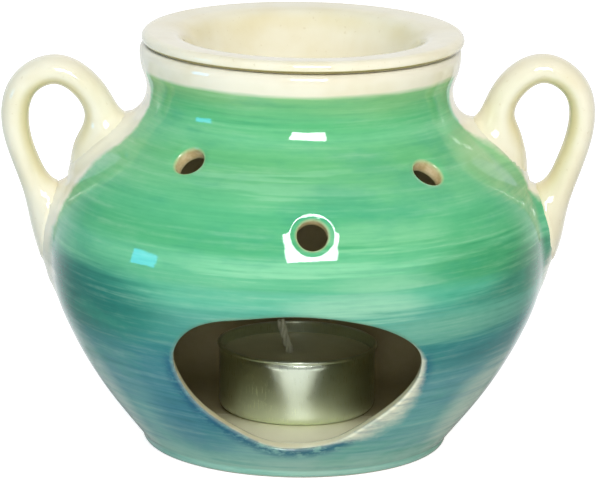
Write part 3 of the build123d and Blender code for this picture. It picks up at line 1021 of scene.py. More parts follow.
def turned(
    wheel: Tree,
    name: str,
    flat: list[Pair] | np.ndarray,
    segments: int,
    offset: float,
    material: bpy.types.Material,
) -> bpy.types.Object:
    """Turns an outline of radius and height about an upright axis.

    Args:
        wheel: the tree that turns it.
        name: the piece's name.
        flat: the outline, closed or from axis to axis.
        segments: how many columns it gets.
        offset: where its axis stands along X, in millimetres.
        material: its material.

    Returns:
        The turned piece.
    """
    line = np.array([(radius, 0.0, height) for radius, height in flat])
    given = {"Profile Points": len(line), "Segments": segments}
    given |= {"Offset X": offset * MM, "Material": material}
    return wheel.grow(name, line, **given)


class Wall:
    """One turned face of the pot: a line of radius and height, measured along its length."""

    def __init__(self, line: np.ndarray) -> None:
        steps = np.linalg.norm(np.diff(line, axis=0), axis=1)
        keep = np.concatenate([[True], steps > NEGLIGIBLE])
        self.line = line[keep]
        self.lengths = np.concatenate([[0], np.cumsum(steps[steps > NEGLIGIBLE])])

    def at(self, length: np.ndarray | float) -> tuple[np.ndarray, np.ndarray]:
        """The radius and height at a length along the line."""
        radius = np.interp(length, self.lengths, self.line[:, 0])
        height = np.interp(length, self.lengths, self.line[:, 1])
        return radius, height

    def length_at(self, height: np.ndarray | float) -> np.ndarray:
        """The length along the line at a height."""
        return np.interp(height, self.line[:, 1], self.lengths)

    def radius_at(self, height: np.ndarray | float) -> np.ndarray:
        """The radius at a height."""
        return np.interp(height, self.line[:, 1], self.line[:, 0])

    def points(self, angle: np.ndarray, length: np.ndarray) -> np.ndarray:
        """Places on the face at angles round the pot and lengths along the line."""
        radius, height = self.at(length)
        angle = np.broadcast_to(angle, np.shape(angle + radius))
        return np.stack([radius * np.sin(angle), -radius * np.cos(angle), height + 0 * angle], -1)

    def normals(self, angle: np.ndarray, length: np.ndarray) -> np.ndarray:
        """The outward direction at places on the face, for a line that climbs outside."""
        radius_ahead, height_ahead = self.at(np.asarray(length) + NORMAL_REACH)
        radius_back, height_back = self.at(np.asarray(length) - NORMAL_REACH)
        across = height_ahead - height_back
        up = radius_back - radius_ahead
        size = np.hypot(across, up)
        across, up = across / size, up / size
        angle = np.broadcast_to(angle, np.shape(angle + across))
        return np.stack([across * np.sin(angle), -across * np.cos(angle), up + 0 * angle], -1)

    def dropped(self, places: np.ndarray, direction: np.ndarray) -> np.ndarray:
        """Moves places along a direction until they lie on the face."""
        moved = np.array(places, float)
        way = direction / np.linalg.norm(direction)
        for _ in range(DROP_ROUNDS):
            off = np.hypot(moved[:, 0], moved[:, 1]) - self.radius_at(moved[:, 2])
            ahead = moved + way * DROP_PROBE
            off_ahead = np.hypot(ahead[:, 0], ahead[:, 1]) - self.radius_at(ahead[:, 2])
            slope = (off_ahead - off) / DROP_PROBE
            least = np.sign(slope) * LEAST_SLOPE + 1e-9
            slope = np.where(np.abs(slope) < LEAST_SLOPE, least, slope)
            moved += way * np.clip(-off / slope, -DROP_STRIDE, DROP_STRIDE)[:, None]
        return moved

    def unrolled(self, places: np.ndarray) -> tuple[np.ndarray, np.ndarray]:
        """The angle and the length along the line of places on the face."""
        return np.arctan2(places[:, 0], -places[:, 1]), self.length_at(places[:, 2])


@dataclass
class Handle:
    """A pulled strap handle in the plane Y = 0, swept through its oval stations."""

    side: Side
    reach: float
    low: float
    crown: float
    shares: tuple[tuple[float, float, float, float], ...]
    thickness: float = 7.2
    width: float = 9.8
    path_steps: int = 200
    round_steps: int = 48
    sunk: float = 1.6
    wall_weight: float = 0.8

    def __post_init__(self) -> None:
        rows = np.array(self.shares, float)
        rows[:, 0] *= self.side.value * self.reach
        rows[:, 1] = self.low + (self.crown - self.low) * rows[:, 1]
        rows[:, 2] *= self.thickness / 2
        rows[:, 3] *= self.width / 2
        line = smooth_line(rows, self.path_steps)
        self.centres = line[:, :2]
        self.depths = line[:, 2]
        self.halves = line[:, 3]
        ways = np.gradient(self.centres, axis=0)
        self.ways = ways / np.linalg.norm(ways, axis=1)[:, None]
        self.outs = np.stack([-self.ways[:, 1], self.ways[:, 0]], 1)

    def distance(self, places: np.ndarray) -> np.ndarray:
        """How far places in millimetres are from the handle's surface, below 0 inside it."""
        flat = places[:, [0, 2]]
        found = np.empty(len(places))
        for start in range(0, len(places), CHUNK):
            part = slice(start, start + CHUNK)
            gaps = flat[part, None, :] - self.centres[None, :, :]
            nearest = np.argmin((gaps**2).sum(-1), 1)
            gap = flat[part] - self.centres[nearest]
            out = (gap * self.outs[nearest]).sum(1)
            ahead = (gap * self.ways[nearest]).sum(1)
            ended = (nearest == 0) | (nearest == len(self.centres) - 1)
            aside = places[part, 1]
            oval = np.hypot(out / self.depths[nearest], aside / self.halves[nearest])
            size = np.hypot(out, aside)
            apart = size * (1 - 1 / np.maximum(oval, NEGLIGIBLE))
            near = np.where(oval > NEGLIGIBLE, apart, -self.depths[nearest])
            found[part] = np.where(ended, np.maximum(near, np.abs(ahead)), near)
        return found

    def build(self, outer: Wall, blend: float) -> bpy.types.Object:
        """Sweeps the handle and melts its roots into the pot's wall.

        Args:
            outer: the pot's outer face.
            blend: how far from the joint the two surfaces round into each other.

        Returns:
            The handle as a closed mesh.
        """
        turns = np.linspace(0, TURN, self.round_steps, endpoint=False)
        skin = Skin("pool_and_shade")
        rings = []
        loop_centre = self.centres[len(self.centres) // 3 :].mean(0)
        for index in range(self.path_steps):
            out = np.cos(turns) * self.depths[index]
            aside = np.sin(turns) * self.halves[index]
            points = np.zeros((self.round_steps, 3))
            points[:, 0] = self.centres[index, 0] + out * self.outs[index, 0]
            points[:, 2] = self.centres[index, 1] + out * self.outs[index, 1]
            points[:, 1] = aside
            lean = (np.cos(turns) / self.depths[index], np.sin(turns) / self.halves[index])
            lean = np.stack(lean, 1)
            lean /= np.linalg.norm(lean, axis=1)[:, None]
            normals = np.zeros_like(points)
            normals[:, 0] = lean[:, 0] * self.outs[index, 0]
            normals[:, 2] = lean[:, 0] * self.outs[index, 1]
            normals[:, 1] = lean[:, 1]
            # Painted shade: the sides that face into the loop carry a high value, which the glaze
            # turns to olive shading
            inward = loop_centre - self.centres[index]
            inward /= np.linalg.norm(inward)
            pool_and_shade = np.clip(normals[:, 0] * inward[0] + normals[:, 2] * inward[1], 0, 1)
            points = self.melted(points, normals, outer, blend)
            rings.append(skin.add(points, pool_and_shade=pool_and_shade))
        for lower, upper in zip(rings, rings[1:]):
            skin.bridge(lower, upper)
        for ring in (rings[0], rings[-1]):
            middle = np.vstack(skin.points)[ring].mean(0)[None]
            skin.cap(ring, int(skin.add(middle)[0]))
        name = "LeftHandle" if self.side is Side.LEFT else "RightHandle"
        return skin.finish(name)

    def melted(
        self, points: np.ndarray, normals: np.ndarray, outer: Wall, blend: float
    ) -> np.ndarray:
        """Lifts points near the wall into the fillet and holds sunk ones just inside it."""
        lift = np.zeros(len(points))
        for _ in range(MELT_ROUNDS):
            moved = points + normals * lift[:, None]
            pot = np.hypot(moved[:, 0], moved[:, 1]) - outer.radius_at(moved[:, 2])
            melt = blended(pot * self.wall_weight, lift, blend)
            lift = np.clip(lift - melt, 0, blend / 4)
        moved = points + normals * lift[:, None]
        radius = np.hypot(moved[:, 0], moved[:, 1])
        least = outer.radius_at(moved[:, 2]) - self.sunk
        scale = np.where(radius < least, least / np.maximum(radius, NEGLIGIBLE), 1.0)
        moved[:, 0] *= scale
        moved[:, 1] *= scale
        return moved


@dataclass
class Grid:
    """One face of the pot's wall in rings, with the faces of its mesh that are kept.

    Attributes:
        face: the wall face.
        rows: the length of each ring along it.
        first: the window's lowest row.
        rings: the points of each ring.
        keep: whether each face between two rings is kept.
    """

    face: Wall
    rows: np.ndarray
    first: int
    rings: list[np.ndarray]
    keep: np.ndarray


@dataclass(frozen=True)
class Cut:
    """How a hole through the wall is rounded, and what its points carry.

    Attributes:
        rounding: how far its edges are rounded.
        shortest: the least depth that the rounding is measured against.
        parts: where its rings lie, as shares of the way through.
        reach: the window_reach at the lip's start, at its end and in the bore.
        lip_cut: how much of the cut's own colour the lip ends in.
    """

    rounding: float
    shortest: float
    parts: tuple[float, ...]
    reach: Triple
    lip_cut: float


@dataclass
class Pot:
    """The thrown pot: turned wall, free-form window, bored vents and softened edges."""

    foot_radius: float = 36.1
    foot_height: float = 2.4
    foot_edge: float = 1.4
    foot_step: float = 0.5
    belly: Pair = (58.6, 46.8)
    neck: Pair = (35.6, 84.8)
    bead: Pair = (37.9, 92.2)
    rim_height: float = 95.6
    bore_radius: float = 32.2
    bore_round: float = 1.3
    wall: float = 4.0
    floor_height: float = 7.2
    floor_flat: float = 30.5
    lower_shares: tuple[Pair, ...] = ((0.136, 0.333), (0.717, 0.823))
    shoulder_shares: tuple[Pair, ...] = ((0.061, 0.237), (0.601, 0.681), (0.907, 0.862))
    neck_share: Pair = (0.478, 0.486)
    bead_share: Pair = (0.037, 0.556)
    window_width: float = 56.3
    window_bottom: float = 8.9
    window_top: float = 44.4
    window_centre: float = 0.5
    window_round: float = 1.1
    window_shares: tuple[Pair, ...] = (
        (-0.07, 1.0),
        (0.42, 0.963),
        (0.815, 0.845),
        (0.985, 0.7),
        (0.985, 0.545),
        (0.815, 0.34),
        (0.513, 0.149),
        (0.3, 0.046),
        (0.05, 0.0),
        (-0.17, 0.005),
        (-0.46, 0.11),
        (-0.744, 0.265),
        (-0.95, 0.487),
        (-1.0, 0.679),
        (-0.865, 0.862),
        (-0.464, 0.965),
    )
    vent_radius: float = 3.5
    vent_round: float = 0.7
    vents: tuple[Pair, ...] = (
        (3.6, 62.6),
        (-36.3, 74.6),
        (41.7, 72.8),
        (180.0, 62.6),
        (138.3, 74.6),
        (216.3, 72.8),
    )
    worn_rings: tuple[Pair, ...] = (
        (4.35, 0.25),
        (4.6, 0.155),
        (4.9, 0.08),
        (5.2, 0.026),
        (5.5, 0.0),
    )
    worn_depth: float = 0.31
    worn_lip: float = 0.1
    columns: int = 288
    row_step: float = 1.15
    window_rows: Pair = (4.9, 48.6)
    window_inner_rows: Pair = (7.45, 48.2)
    window_columns: int = 29
    window_fill: tuple[int, int] = (9, 6)
    window_points: int = 720
    vent_half_block: int = 8
    vent_fill: tuple[int, int] = (4, 3)
    corner_points: int = 40
    throat_points: int = 60
    blend: float = 7.0
    outer: Wall = field(init=False)
    inner: Wall = field(init=False)

    def __post_init__(self) -> None:
        foot = (self.foot_radius + self.foot_step, self.foot_height)
        bore = (self.bore_radius, self.rim_height)
        lower = [between(self.belly, foot, share) for share in self.lower_shares]
        lower = [self.belly, *lower, foot]
        upper = [between(self.belly, self.neck, share) for share in self.shoulder_shares]
        upper = [self.belly, *upper, between(self.neck, self.bead, self.neck_share)]
        upper.append(between(self.bead, bore, self.bead_share))
        lower_line, _ = tangent_arcs(lower, (0, -1), LINE_STEP)
        upper_line, along = tangent_arcs(upper, (0, 1), LINE_STEP)
        rise = (self.rim_height - upper[-1][1]) / (1 + along[0])
        land = (upper[-1][0] - rise * along[1], self.rim_height)
        crown, _ = tangent_arcs([upper[-1], land], along, LINE_STEP)
        self.outer = Wall(np.vstack([lower_line[::-1], upper_line[1:], crown[1:]]))
        self.inner = Wall(self.inner_line(lower[:-1], upper[: len(self.shoulder_shares) + 1]))

    def inner_line(self, lower: list[Pair], upper: list[Pair]) -> np.ndarray:
        """The line one wall thickness in, from the edge of the floor up to the rim's bore."""
        down, down_way = self.moved_in(lower, (0.0, -1.0), -1)
        climb, climb_way = self.moved_in(upper, (0.0, 1.0), 1)
        edge = (self.floor_flat, self.floor_height)
        top = (self.bore_radius, self.rim_height - self.bore_round)
        arrive = (-down_way[0], -down_way[1])
        corner = eased(edge, tuple(down[-1]), (1, 0), arrive, self.corner_points)
        throat = eased(tuple(climb[-1]), top, climb_way, (0, 1), self.throat_points)
        return np.vstack([corner, down[::-1][1:], climb[1:], throat[1:]])

    def moved_in(self, joints: list[Pair], tangent: Pair, turn: int) -> tuple[np.ndarray, Pair]:
        """The arcs one wall thickness to one side of a chain of outer arcs."""
        moved = []
        way = tangent
        offset = turn * self.wall
        for index, joint in enumerate(joints):
            if index:
                _, way = tangent_arcs(joints[index - 1 : index + 1], way, 1.0)
            moved.append((joint[0] - offset * way[1], joint[1] + offset * way[0]))
        return tangent_arcs(moved, tangent, LINE_STEP)

    def outline(self) -> tuple[np.ndarray, np.ndarray]:
        """The window's outline in X and Z, and the outward direction at each point."""
        shares = np.array(self.window_shares)
        stations = np.empty_like(shares)
        stations[:, 0] = self.window_centre + self.window_width / 2 * shares[:, 0]
        stations[:, 1] = self.window_bottom + (self.window_top - self.window_bottom) * shares[:, 1]
        line = smooth_line(stations, self.window_points, closed=True)
        ways = np.roll(line, -1, 0) - np.roll(line, 1, 0)
        normals = np.stack([-ways[:, 1], ways[:, 0]], 1)
        normals /= np.linalg.norm(normals, axis=1)[:, None]
        outward = ((line - line.mean(0)) * normals).sum(1).mean()
        return line, normals * np.sign(outward)

    def build(self, handles: list[Handle]) -> bpy.types.Object:
        """Builds the whole pot.

        Args:
            handles: the handles whose roots melt into its wall.

        Returns:
            The pot as one closed mesh.
        """
        self.skin = Skin("window_reach", "cut", "inside")
        self.angles = np.arange(self.columns) / self.columns * TURN
        low, high = (self.outer.length_at(height) for height in self.window_rows)
        self.window_count = round((high - low) / self.row_step)
        self.line, self.line_normals = self.outline()
        outer = self.laid_out(self.outer, self.window_rows, handles, 0.0)
        inner = self.laid_out(self.inner, self.window_inner_rows, [], 1.0)
        self.cut_window(outer, inner)
        for angle, height in self.vents:
            self.cut_vent(angle, height, outer, inner)
        for grid in (outer, inner):
            for lower, upper, keep in zip(grid.rings, grid.rings[1:], grid.keep):
                self.skin.bridge(lower, upper, keep)
        self.close_rim(outer.rings[-1], inner.rings[-1])
        self.close_foot(outer.rings[0])
        self.close_floor(inner.rings[0])
        return self.skin.finish("GlazedPot")

    def laid_out(self, face: Wall, heights: Pair, handles: list[Handle], inside: float) -> Grid:
        """Lays a wall face out in rings, lifted where a handle melts into it.

        Args:
            face: the wall face.
            heights: the heights of the window's lowest and highest row.
            handles: the handles that melt into it.
            inside: 1 for the inner face and 0 for the outer one.

        Returns:
            The face's grid.
        """
        start, end = face.length_at(heights[0]), face.length_at(heights[1])
        below = max(2, round(start / self.row_step))
        above = max(2, round((face.lengths[-1] - end) / self.row_step))
        rows = [
            np.linspace(0, start, below, endpoint=False),
            np.linspace(start, end, self.window_count, endpoint=False),
            np.linspace(end, face.lengths[-1], above + 1),
        ]
        rings = []
        for length in np.concatenate(rows):
            points = face.points(self.angles, length)
            normals = face.normals(self.angles, length)
            for handle in handles:
                points = self.lifted(points, normals, handle)
            reach = self.window_distance(points) if inside == 0 else FAR
            rings.append(self.skin.add(points, window_reach=reach, inside=inside))
        keep = np.ones((len(rings) - 1, self.columns), bool)
        return Grid(face, np.concatenate(rows), below, rings, keep)

    def lifted(self, points: np.ndarray, normals: np.ndarray, handle: Handle) -> np.ndarray:
        """Points of the wall raised into the fillet round a handle's root."""
        beside, across = HANDLE_ZONE
        near = (points[:, 0] * handle.side.value > beside) & (np.abs(points[:, 1]) < across)
        if not near.any():
            return points
        moved = points.copy()
        lift = np.zeros(near.sum())
        for _ in range(MELT_ROUNDS):
            places = points[near] + normals[near] * lift[:, None]
            melt = blended(lift, handle.distance(places), self.blend)
            lift = np.clip(lift - melt, 0, self.blend / 4)
        moved[near] = points[near] + normals[near] * lift[:, None]
        return moved

    def window_distance(self, points: np.ndarray) -> np.ndarray:
        """How far points of the front are from the window's outline, seen from the front."""
        flat = points[:, [0, 2]]
        found = np.full(len(points), FAR)
        aside, high = WINDOW_ZONE
        front = (points[:, 1] < 0) & (np.abs(flat[:, 0]) < aside) & (flat[:, 1] < high)
        if front.any():
            gaps = flat[front][:, None, :] - self.line[None, ::4, :]
            found[front] = np.minimum(np.sqrt((gaps**2).sum(-1)).min(1), FAR)
        return found

    def opened(
        self, grid: Grid, row: int, count: int, columns: tuple[int, int]
    ) -> tuple[np.ndarray, tuple[np.ndarray, np.ndarray]]:
        """Leaves the faces of a block out of a grid.

        Args:
            grid: the grid of a wall face.
            row: the block's first row.
            count: how many rows of faces it has.
            columns: its first and last column, which may be below 0.

        Returns:
            The points of its edge, running round it, and the angle and length of each.
        """
        rows = (row, row + count)
        grid.keep[row : row + count, np.arange(*columns) % self.columns] = False
        path = [(rows[0], column) for column in range(*columns)]
        path += [(row, columns[1]) for row in range(*rows)]
        path += [(rows[1], column) for column in range(columns[1], columns[0], -1)]
        path += [(row, columns[0]) for row in range(rows[1], rows[0], -1)]
        points = np.array([grid.rings[row][column % self.columns] for row, column in path])
        places = np.array(path)
        return points, (places[:, 1] / self.columns * TURN, grid.rows[places[:, 0]])

    def fill(
        self,
        face: Wall,
        places: np.ndarray,
        border: tuple[np.ndarray, np.ndarray],
        count: int,
        middle: float,
        **values: object,
    ) -> list[np.ndarray]:
        """Rings on a face between a hole's edge and the block round it.

        Args:
            face: the wall face.
            places: the points next to the hole.
            border: the angle and length of each point of the block.
            count: how many rings lie between them.
            middle: the angle of the hole's middle.
            values: what the points carry at the edge and at the block.

        Returns:
            The rings from the edge outwards.
        """
        around, lengths = face.unrolled(places)
        around = around + TURN * np.round((middle - around) / TURN)
        rings = []
        for index in range(1, count + 1):
            share = index / (count + 1)
            share = share * (0.55 + 0.45 * share)
            angle = around * (1 - share) + border[0] * share
            length = lengths * (1 - share) + border[1] * share
            rings.append(self.skin.add(face.points(angle, length), **self.held(values, share)))
        return rings

    def held(self, values: dict[str, Pair], share: float) -> dict[str, object]:
        """What the points carry at a share of the way between two ends."""
        return {name: ends[0] * (1 - share) + ends[1] * share for name, ends in values.items()}

    def lined(
        self, corner: np.ndarray, surface: np.ndarray, bore: np.ndarray, **values: object
    ) -> list[np.ndarray]:
        """Rings that round over from a face into a cut."""
        rings = []
        for share in (0.0, 0.2, 0.4, 0.6, 0.8, 1.0):
            points = surface * (1 - share) ** 2 + corner * 2 * share * (1 - share) + bore * share**2
            rings.append(self.skin.add(points, **self.held(values, share)))
        return rings

    def bored(
        self,
        corners: list[np.ndarray],
        surfaces: list[np.ndarray],
        cut: Cut,
    ) -> list[np.ndarray]:
        """Rings from the outer face through a cut to the inner face, rounded at both ends.

        Args:
            corners: the cut's sharp edge on the outer and the inner face.
            surfaces: where its rounding starts on each face.
            cut: how it is rounded and what its points carry.

        Returns:
            The rings from the outside in.
        """
        through = corners[1] - corners[0]
        depth = np.maximum(np.linalg.norm(through, axis=1), cut.shortest)
        share = cut.rounding / depth[:, None]
        bores = (corners[0] + through * share, corners[1] - through * share)
        lip = self.lined(
            corners[0], surfaces[0], bores[0], window_reach=cut.reach[:2], cut=(0.0, cut.lip_cut)
        )
        middle = [
            self.skin.add(bores[0] * (1 - part) + bores[1] * part, window_reach=cut.reach[2], cut=1.0)
            for part in cut.parts
        ]
        inner = self.lined(
            corners[1],
            surfaces[1],
            bores[1],
            window_reach=(FAR, cut.reach[2]),
            inside=(1.0, 0.5),
            cut=(0.0, 1.0),
        )
        return [*lip, *middle, *inner[::-1]]

    def join(self, rings: list[np.ndarray]) -> None:
        """Bridges a run of rings."""
        for lower, upper in zip(rings, rings[1:]):
            self.skin.bridge(lower, upper)

    def cut_window(self, outer: Grid, inner: Grid) -> None:
        """Cuts the window straight through along Y and rounds both of its edges."""
        columns = (-self.window_columns, self.window_columns)
        outer_ids, outer_border = self.opened(outer, outer.first, self.window_count, columns)
        inner_ids, inner_border = self.opened(inner, inner.first, self.window_count, columns)
        middle = np.array([self.window_centre, (self.window_bottom + self.window_top) / 2])
        border = self.outer.points(*outer_border)
        places = border[:, [0, 2]] - middle
        turns = np.arctan2(places[:, 1], places[:, 0])
        seen = np.arctan2(self.line[:, 1] - middle[1], self.line[:, 0] - middle[0])
        order = np.argsort(seen)
        edge = self.round_values(turns, seen[order], self.line[order])
        normal = self.round_values(turns, seen[order], self.line_normals[order])
        normal /= np.linalg.norm(normal, axis=1)[:, None]
        wide = edge + normal * self.window_round
        corners = [self.seen_on(face, edge) for face in (self.outer, self.inner)]
        surfaces = [self.seen_on(face, wide) for face in (self.outer, self.inner)]
        outer_count, inner_count = self.window_fill
        reach = (self.window_round, self.window_distance(border))
        outside = self.fill(
            self.outer, surfaces[0], outer_border, outer_count, 0.0, window_reach=reach
        )
        cut = Cut(self.window_round, 2.5, (0.25, 0.5, 0.75), (self.window_round, 0.0, -1.0), 0.25)
        bore = self.bored(corners, surfaces, cut)
        inside = self.fill(
            self.inner, surfaces[1], inner_border, inner_count, 0.0, **INSIDE_VALUES
        )
        self.join([outer_ids, *outside[::-1], *bore, *inside, inner_ids])

    def round_values(self, turns: np.ndarray, known: np.ndarray, values: np.ndarray) -> np.ndarray:
        """Values given round a circle, read at other angles."""
        return np.stack([np.interp(turns, known, column, period=TURN) for column in values.T], 1)

    def seen_on(self, face: Wall, flat: np.ndarray) -> np.ndarray:
        """Places on the front of a face that lie behind points in X and Z."""
        radius = face.radius_at(flat[:, 1])
        depth = -np.sqrt(np.maximum(radius**2 - flat[:, 0] ** 2, 0))
        return np.stack([flat[:, 0], depth, flat[:, 1]], 1)

    def cut_vent(self, degrees: float, height: float, outer: Grid, inner: Grid) -> None:
        """Bores one vent square to the wall and wears its outer edge down softly."""
        angle = math.radians(degrees)
        length = float(self.outer.length_at(height))
        centre = self.outer.points(np.array([angle]), np.array([length]))[0]
        normal = self.outer.normals(np.array([angle]), np.array([length]))[0]
        level = np.array([math.cos(angle), math.sin(angle), 0.0])
        climb = np.cross(level, normal)
        climb *= np.sign(climb[2])
        half = self.vent_half_block
        column = round(angle / TURN * self.columns)
        columns = (column - half, column + half)
        row = int(np.argmin(np.abs(outer.rows - length)))
        inner_centre = self.inner.dropped(centre[None] - normal * self.wall, -normal)[0]
        inner_length = self.inner.length_at(inner_centre[2])
        inner_row = int(np.argmin(np.abs(inner.rows - inner_length)))
        outer_ids, outer_border = self.opened(outer, row - half, 2 * half, columns)
        inner_ids, inner_border = self.opened(inner, inner_row - half, 2 * half, columns)
        gaps = self.outer.points(*outer_border) - centre
        turns = np.arctan2(gaps @ climb, gaps @ level)
        rim = np.cos(turns)[:, None] * level + np.sin(turns)[:, None] * climb

        def ring_on(face: Wall, start: np.ndarray, radius: float) -> np.ndarray:
            """A circle about the bore's axis, laid on a face."""
            return face.dropped(start + rim * radius, -normal)

        wide = self.vent_radius + self.vent_round
        sunk = normal * (self.worn_depth + self.worn_lip)
        corners = [
            ring_on(self.outer, centre, self.vent_radius) - sunk,
            ring_on(self.inner, inner_centre, self.vent_radius),
        ]
        surfaces = [
            ring_on(self.outer, centre, wide) - normal * self.worn_depth,
            ring_on(self.inner, inner_centre, wide),
        ]
        pressed = []
        for radius, depth in self.worn_rings:
            last = ring_on(self.outer, centre, radius)
            pressed.append(self.skin.add(last - normal * depth, window_reach=FAR))
        outer_count, inner_count = self.vent_fill
        outside = self.fill(
            self.outer, last, outer_border, outer_count, angle, window_reach=(FAR, FAR)
        )
        cut = Cut(self.vent_round, 2.0, (0.33, 0.67), (FAR, FAR, FAR), 0.9)
        bore = self.bored(corners, surfaces, cut)
        inside = self.fill(
            self.inner, surfaces[1], inner_border, inner_count, angle, **INSIDE_VALUES
        )
        self.join([outer_ids, *outside[::-1], *pressed[::-1], *bore, *inside, inner_ids])

    def close_rim(self, outer: np.ndarray, inner: np.ndarray) -> None:
        """Joins the two faces over the rim's land and rounded bore."""
        top = (self.bore_radius + self.bore_round, self.rim_height)
        low = (self.bore_radius, self.rim_height - self.bore_round)
        line = quarter(top, low, (-1, 0), 5)
        self.join([outer, *(self.ring(*place, window_reach=FAR) for place in line[:-1]), inner])

    def close_foot(self, outer: np.ndarray) -> None:
        """Closes the foot: its step, side, rounded edge and flat underside."""
        low = (self.foot_radius - self.foot_edge, 0.0)
        side = (self.foot_radius, self.foot_edge)
        line = [
            (self.foot_radius + share * self.foot_step, self.foot_height - drop)
            for share, drop in ((0.7, 0.12), (0.3, 0.35), (0.08, 0.6), (0.0, 0.85))
        ]
        line += [tuple(point) for point in quarter(side, low, (0, -1), 6)]
        line += [(radius, 0.0) for radius in (30.0, 20.0, 8.0)]
        rings = [outer] + [self.ring(*place, window_reach=FAR) for place in line]
        self.join(rings)
        self.skin.cap(rings[-1], int(self.skin.add(np.zeros((1, 3)), window_reach=FAR)[0]))

    def close_floor(self, inner: np.ndarray) -> None:
        """Closes the floor inside the pot."""
        given = {"inside": 1.0, "window_reach": FAR}
        rings = [inner]
        rings += [self.ring(radius, self.floor_height, **given) for radius in (26.0, 20.0, 10.0)]
        self.join(rings)
        centre = np.array([[0.0, 0.0, self.floor_height]])
        self.skin.cap(rings[-1], int(self.skin.add(centre, **given)[0]))

    def ring(self, radius: float, height: float, **values: float) -> np.ndarray:
        """One ring of points round the axis."""
        level = np.full(self.columns, height)
        around = (radius * np.sin(self.angles), -radius * np.cos(self.angles), level)
        return self.skin.add(np.stack(around, 1), **values)


@dataclass
class OilDish:
    """The loose dish: a wide soft flange over a shallow round bowl."""

    seat: float = 95.6
    flange_radius: float = 37.8
    edge_thickness: float = 2.7
    crest: Pair = (33.2, 2.7)
    throat: Pair = (27.5, 2.5)
    depth: float = 18.0
    floor_flat: float = 13.5
    wall: float = 3.4
    shank_radius: float = 30.45
    off_centre: float = 0.575
    base_flat_share: float = 0.42
    edge_share: Pair = (0.34, 1.14)
    crest_share: Pair = (0.29, 0.01)
    bowl_share: Pair = (0.48, 0.70)
    base_share: Pair = (0.38, 0.042)
    segments: int = 256

    def profile(self) -> np.ndarray:
        """The dish's outline from the middle of its base round to the middle of its floor."""
        crest_height = self.seat + self.crest[1]
        base_height = crest_height - self.depth - self.wall
        half = self.edge_thickness / 2
        edge_low = (self.flange_radius - half, self.seat)
        edge_side = (self.flange_radius, self.seat + half)
        crest = (self.crest[0], crest_height)
        throat = (self.throat[0], crest_height - self.throat[1])
        floor = (self.floor_flat, crest_height - self.depth)
        top = [edge_side, between(edge_side, crest, self.edge_share)]
        top += [between(crest, throat, self.crest_share), throat]
        top += [between(throat, floor, self.bowl_share), floor]
        base_edge = (self.shank_radius * self.base_flat_share, base_height)
        shank = (self.shank_radius, self.seat - self.wall)
        under = [base_edge, between(base_edge, shank, self.base_share), shank]
        under_line, _ = tangent_arcs(under, (1, 0), 0.8)
        top_line, _ = tangent_arcs(top, (0, 1), 0.6)
        lines = [
            [(0.0, base_height), (7.0, base_height)],
            under_line,
            [(self.shank_radius, self.seat - 0.3), (self.shank_radius + 0.3, self.seat)],
            quarter(edge_low, edge_side, (1, 0), 6),
            top_line[1:],
            [(7.0, floor[1]), (0.0, floor[1])],
        ]
        return np.vstack([np.asarray(line, float) for line in lines])

    def build(self, wheel: Tree, material: bpy.types.Material) -> bpy.types.Object:
        """Turns the dish and marks where its glaze pools and where painted shade falls."""
        flat = self.profile()
        piece = turned(wheel, "OilDish", flat, self.segments, self.off_centre, material)
        mesh = piece.data
        places = np.empty(len(mesh.vertices) * 3, np.float32)
        mesh.vertices.foreach_get("co", places)
        places = places.reshape(-1, 3) / MM
        radius = np.hypot(places[:, 0] - self.off_centre, places[:, 1])
        # Painted shade round the throat, partly pooled glaze, and a painted shadow in the gap where
        # the flange rests on the pot's rim
        ring = np.exp(-(((radius - self.throat[0]) / 2.4) ** 2)) * (places[:, 2] > self.seat - 6)
        under = (places[:, 2] < self.seat + 0.8) & (radius > self.shank_radius + 0.5)
        pool_and_shade = 0.5 * ring + 1.7 * under
        layer = mesh.attributes.new("pool_and_shade", "FLOAT", "POINT")
        layer.data.foreach_set("value", pool_and_shade.astype(np.float32))
        return piece


